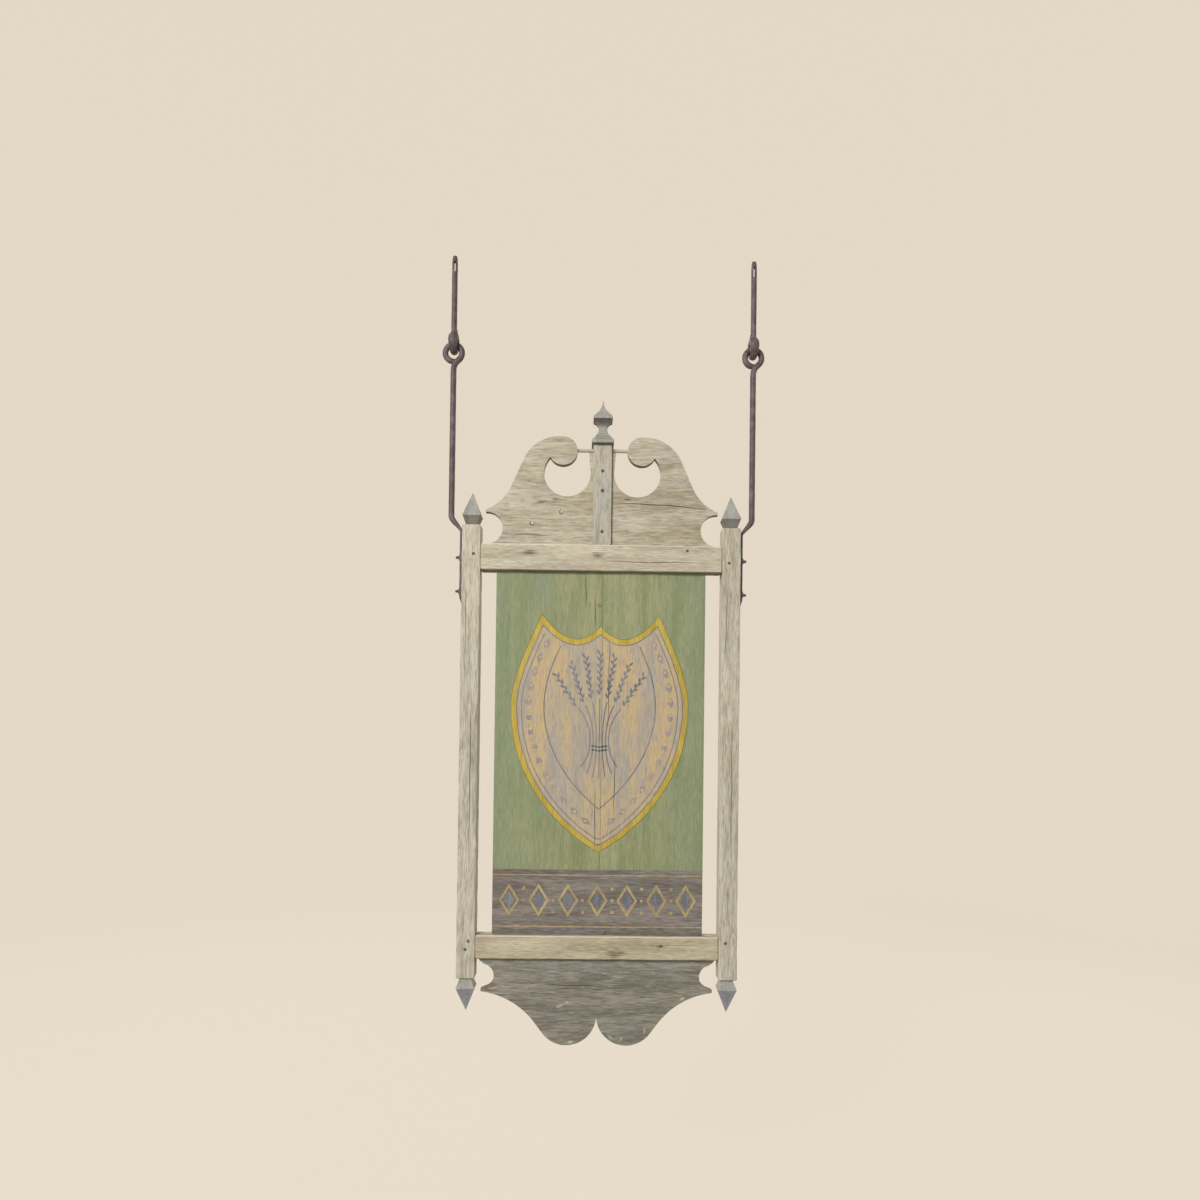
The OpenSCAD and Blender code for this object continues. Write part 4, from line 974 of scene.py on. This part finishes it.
strap_face = POST_OUT + 2 * STRAP_HALF_T
bolts = [(s, z) for s in (-1, 1) for z in (TOP_RAIL_MID, TOP_RAIL_MID - 81 * MM)]
bolt_places = [(s * strap_face, 0.0, z) for s, z in bolts]
bolt_ways = [(s, 0, 0) for s, z in bolts]
rove = lathed(mm((10.2, 0), (10.4, 0.8), (7.5, 2.6), (4.6, 3.6)), 14, 0.07, 4.0)
stub = lathed([(3.5 * MM, -20 * MM - 2 * STRAP_HALF_T)] + mm((3.5, 3), (3.3, 7), (3.2, 9.4), (2.2, 10.5)),
              8, 0.08, 6.0)
for name, shape, spread, seed in (("strap_roves", rove, 0.05, 11), ("strap_bolts", stub, 0.0, 13)):
    fixings(f"{name}_hammered", shape, bolt_places, iron, spread, seed, replaced=[name], ways=bolt_ways)

peg_low, peg_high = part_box("rail_pegs")
peg_length = peg_high.y - peg_low.y
PEG_R, PEG_END_R, PEG_EDGE = 3.9 * MM, 3.3 * MM, 0.8 * MM
peg = lathed([(PEG_END_R, -peg_length), (PEG_R, PEG_EDGE - peg_length), (PEG_R, -PEG_EDGE), (PEG_END_R, 0.0)],
             8, 0.1, 8.0)
PEG_X = POST_IN + 16 * MM
low_pegs = peg_low.z + 4 * MM
peg_places = [(x, peg_low.y, z) for x, z in ((-PEG_X, TOP_RAIL_MID + 6 * MM), (PEG_X, TOP_RAIL_MID - 8 * MM),
                                             (-PEG_X, low_pegs), (PEG_X, low_pegs))]
fixings("rail_pegs_whittled", peg, peg_places, pine_end, 0.0, 17, ["rail_pegs"])


# Paint on both faces of the panel

def both_faces(outlines, lift):
    """Outlines as thin solids, one of each sunk into each face of the panel and standing proud by lift."""
    root = PANEL_FACE - 0.3 * MM
    return joined([prism(outline, *ends) for outline in outlines
                   for ends in ((-PANEL_FACE - lift, -root), (root, PANEL_FACE + lift))])


def film(name, outlines, lift, material, holes=()):
    """Paint a fraction of a millimetre thick, left out of the holes and broken where the wood has split."""
    mesh = both_faces(outlines, lift)
    if holes:
        mesh = cut(mesh, [prism(hole, -reach, reach) for hole in holes])
    piece(name, cut(mesh, panel_gaps), material)


def mirrored(line):
    return [(-x, z) for x, z in line]


reach = PANEL_FACE + 3 * MM
joint_line = wandering([(PANEL_JOINT, panel_low.z - MM), (PANEL_JOINT, panel_high.z + MM)], 0.6 * MM, 9)
joint_gap = prism([(x - 0.4 * MM, z) for x, z in joint_line] + [(x + 0.4 * MM, z) for x, z in joint_line[::-1]],
                  -reach, reach)
panel_gaps = [joint_gap] + [gouge(line, SPLIT_SWAY, i, SPLIT_WIDTH, -reach, 0.0)
                            for i, line in enumerate(PANEL_SPLITS)]

# Shield with a scalloped head
TIP, CUSP, SCALLOP, WIDEST, FOOT = mm((140, -681), (0, -709), (64, -784), (211, -900), (0, -1247))
right_side = bezier(CUSP, [between(c, s, 2 / 3) for c, s in zip(CUSP, SCALLOP)],
                    [between(c, s, 2 / 3) for c, s in zip(TIP, SCALLOP)], TIP, 40)
right_side += bezier(TIP, *mm((166, -745), (211, -830)), WIDEST, 40)
right_side += bezier(WIDEST, *mm((211, -1055), (124, -1176)), FOOT, 60)
shield = right_side + [FOOT] + mirrored(right_side[:0:-1])
shield = [(x + 0.7 * MM * wobble(x * 30, z * 30, 2.0), z + 0.7 * MM * wobble(x * 30, z * 30, 5.0))
          for x, z in shield]
film("shield_field", [inset(shield, 9 * MM)], 0.25 * MM, buff_paint)
film("shield_outline", [inset(shield, -1.5 * MM)], 0.3 * MM, olive_paint, [inset(shield, 2 * MM)])
film("shield_border", [shield], 0.5 * MM, yellow_paint, [inset(shield, 12 * MM)])
film("shield_border_line", [inset(shield, 11.5 * MM)], 0.4 * MM, slate_paint, [inset(shield, 14.2 * MM)])
side_line = [(x, z) for x, z in inset(shield, 24 * MM) if abs(x) > 128 * MM or z < -800 * MM]
film("shield_side_line", [ribbon(side_line, 2 * MM)], 0.4 * MM, slate_paint)
inner_line = bezier(*mm((94, -756), (112, -792), (133, -845), (133, -900)))
inner_line += bezier(*mm((133, -900), (133, -1000), (75, -1085), (0, -1145))) + mm((0, -1145))
film("shield_inner_line", [ribbon(line, 2.6 * MM) for line in (inner_line, mirrored(inner_line))], 0.4 * MM,
     slate_paint)


# Row of small lozenges and dots between the two lines of the shield

def lozenge(long_half, wide_half):
    return mm((long_half, 0), (0, wide_half), (-long_half, 0), (0, -wide_half))


def dot(radius, sides=8):
    return [(radius * math.cos(math.tau * i / sides), radius * math.sin(math.tau * i / sides)) for i in range(sides)]


rim = bezier(*mm((128, -752), (150, -795), (170, -850), (170, -900)))
rim += bezier(*mm((170, -900), (170, -1025), (102, -1122), (20, -1181)))
rims = [rim, mirrored(rim)]
row("shield_lozenges", both_faces([lozenge(15, 8.5)], 0.4 * MM), rims, 34 * MM, lilac_paint, 0.15, 3)
row("shield_dots", both_faces([dot(3.8 * MM)], 0.5 * MM), rims, 17 * MM, ochre_paint, 0.2, 5)

# Wheat sheaf in the middle of the shield
SHEAF_FOOT, SHEAF_TIE, EAR_LOW, EAR_TOP = -1072 * MM, -1000 * MM, -872 * MM, -772 * MM
stems, ears = [], []
for i in (-3, -2, -1, 0, 1, 2, 3):
    low, high = EAR_LOW - abs(i) * 9 * MM, EAR_TOP - abs(i) ** 1.6 * 9 * MM
    stems.append(bezier((i * 15 * MM, SHEAF_FOOT + abs(i) ** 2 * 3 * MM), (i * 5 * MM, SHEAF_TIE - 16 * MM),
                        (i * 3 * MM, SHEAF_TIE + 56 * MM), (i * 19 * MM, low)))
    ears.append(bezier((i * 19 * MM, low), (i * 23 * MM, low + 24 * MM), (i * 29 * MM, high - 30 * MM),
                       (i * 35 * MM, high)))
tie = [[(-20 * MM, SHEAF_TIE + dz * MM), (0.0, SHEAF_TIE + (dz - 3) * MM), (20 * MM, SHEAF_TIE + dz * MM)]
       for dz in (6, -3)]
film("sheaf_stems", [ribbon(line, 2.6 * MM) for line in stems + ears] + [ribbon(line, 4 * MM) for line in tie],
     0.45 * MM, slate_paint)
grain = mm((0, 0), (5, 3), (10, 3.2), (16, 0), (10, -2.4), (5, -2.2))
row("sheaf_grains", both_faces([grain], 0.5 * MM), ears, 8 * MM, slate_paint, 0.2, 7, math.radians(30))

# Band along the foot of the panel, with a row of framed lozenges
BAND_TOP, BAND_LOW, BAND_SIDE = -1289 * MM, panel_low.z + 8 * MM, PANEL_SIDE - 0.4 * MM
film("foot_band", [[(-BAND_SIDE, BAND_TOP), (BAND_SIDE, BAND_TOP), (BAND_SIDE, BAND_LOW), (-BAND_SIDE, BAND_LOW)]],
     0.25 * MM, black_paint)
LOZENGE_Z, LOZENGE_STEP, BAND_LIFT = -1362 * MM, 70 * MM, 0.45 * MM
frame_line = [(-3 * LOZENGE_STEP, LOZENGE_Z), (3 * LOZENGE_STEP, LOZENGE_Z)]
band_frame = cut(both_faces([lozenge(25, 40)], BAND_LIFT), [prism(lozenge(18.5, 29.5), -reach, reach)])
row("band_lozenge_frames", band_frame, [frame_line], LOZENGE_STEP, tan_paint, 0.04, 2)
row("band_lozenge_hearts", both_faces([lozenge(13, 21)], BAND_LIFT), [frame_line], LOZENGE_STEP, slate_paint, 0.1, 4)
dot_lines = [[(-2.5 * LOZENGE_STEP, LOZENGE_Z + dz), (2.5 * LOZENGE_STEP, LOZENGE_Z + dz)]
             for dz in (-28 * MM, 0.0, 28 * MM)]
row("band_dots", both_faces([dot(4.5 * MM, 10)], BAND_LIFT), dot_lines, LOZENGE_STEP, tan_paint, 0.2, 6)
film("band_lines", [ribbon([(-BAND_SIDE, z), (0.0, z - 0.6 * MM), (BAND_SIDE, z)], 2.6 * MM)
                    for z in (-1302 * MM, -1424 * MM)], BAND_LIFT, tan_paint)


# Floor, light and camera

FLOOR_Z = cad_low.z - 0.6
BOWL_R, BOWL_ROUND, BOWL_TOP = 5.0, 2.0, 7.0


def studio():
    """A pale round floor that curves up into a pale wall, so that no view shows an edge."""
    line = [[0.02, FLOOR_Z], [2.0, FLOOR_Z], [BOWL_R, FLOOR_Z]]
    line += [[BOWL_R + BOWL_ROUND * math.sin(a), FLOOR_Z + BOWL_ROUND * (1 - math.cos(a))]
             for a in [math.pi / 2 * i / 16 for i in range(1, 17)]]
    line.append([BOWL_R + BOWL_ROUND, BOWL_TOP])
    turns = [math.tau * j / 96 for j in range(96)]
    mesh = skinned([[(r * math.cos(a), r * math.sin(a), z) for a in turns] for r, z in line], open_end=True)
    mesh.polygons.foreach_set("use_smooth", [True] * len(mesh.polygons))
    bowl = placed("studio_floor", mesh)
    material, tree = blank_material("matt pale paper")
    matt = add(tree, "ShaderNodeBsdfDiffuse", {"Color": srgb("#b0b0af")})
    pale = add(tree, "ShaderNodeEmission", {"Color": srgb("#f0e3cf"), "Strength": 1.0})
    ray = add(tree, "ShaderNodeLightPath")
    seen = add(tree, "ShaderNodeMath", {0: ray.outputs["Is Camera Ray"], 1: ray.outputs["Is Glossy Ray"]},
               operation="MAXIMUM")
    seen = add(tree, "ShaderNodeMath", {0: seen, 1: ray.outputs["Is Transmission Ray"]}, operation="MAXIMUM")
    share = add(tree, "ShaderNodeMath", {0: seen, 1: 0.85}, operation="MULTIPLY")
    both = add(tree, "ShaderNodeMixShader", {0: share, 1: matt, 2: pale})
    add(tree, "ShaderNodeOutputMaterial", {"Surface": both})
    mesh.materials.append(material)


studio()
MIDDLE = Vector((0.0, 0.0, -0.85))
# Lamps, each with its place and size in metres and its power in watts
for name, place, size, power in (("key", (-2.9, -5.2, 1.9), 1.8, 350), ("fill", (2.8, -2.8, -0.4), 3.0, 10),
                                 ("back_left", (-2.6, 3.0, 1.4), 2.2, 90), ("back_right", (2.8, 2.6, 0.6), 2.6, 50)):
    light = bpy.data.lights.new(name, "AREA")
    light.shape = "SQUARE"
    light.size = size
    light.energy = power
    lamp = placed(name, light)
    lamp.location = place
    lamp.rotation_euler = (MIDDLE - Vector(place)).to_track_quat("-Z", "Y").to_euler()
    lamp.visible_camera = False
world = bpy.data.worlds.new("studio")
world.use_nodes = True
backdrop = world.node_tree.nodes["Background"].inputs
backdrop["Color"].default_value = srgb("#ffffff")
backdrop["Strength"].default_value = 0.46
scene.world = world
scene.view_settings.view_transform = "Standard"

# The photograph's view: a little below the middle, just left of centre, tipped up by a degree
view = bpy.data.cameras.new("photo_view")
view.sensor_width = 36.0
view.lens = 26.3
view.shift_y = 0.1
camera = placed("photo_view", view)
turn = Matrix()
for degrees, axis in ((-0.784, "Z"), (0.847, "X"), (-0.688, "Y"), (90, "X")):
    turn = turn @ Matrix.Rotation(math.radians(degrees), 4, axis)
camera.matrix_world = Matrix.Translation((-27.5 * MM, -2.1, -963.2 * MM)) @ turn
scene.camera = camera

# Dowels hidden in the joints keep their own solids and get the wood's finish
for name in ("panel_dowels", "pediment_dowels", "skirt_dowels"):
    nodes[name].data.materials.clear()
    nodes[name].data.materials.append(pine_rail)
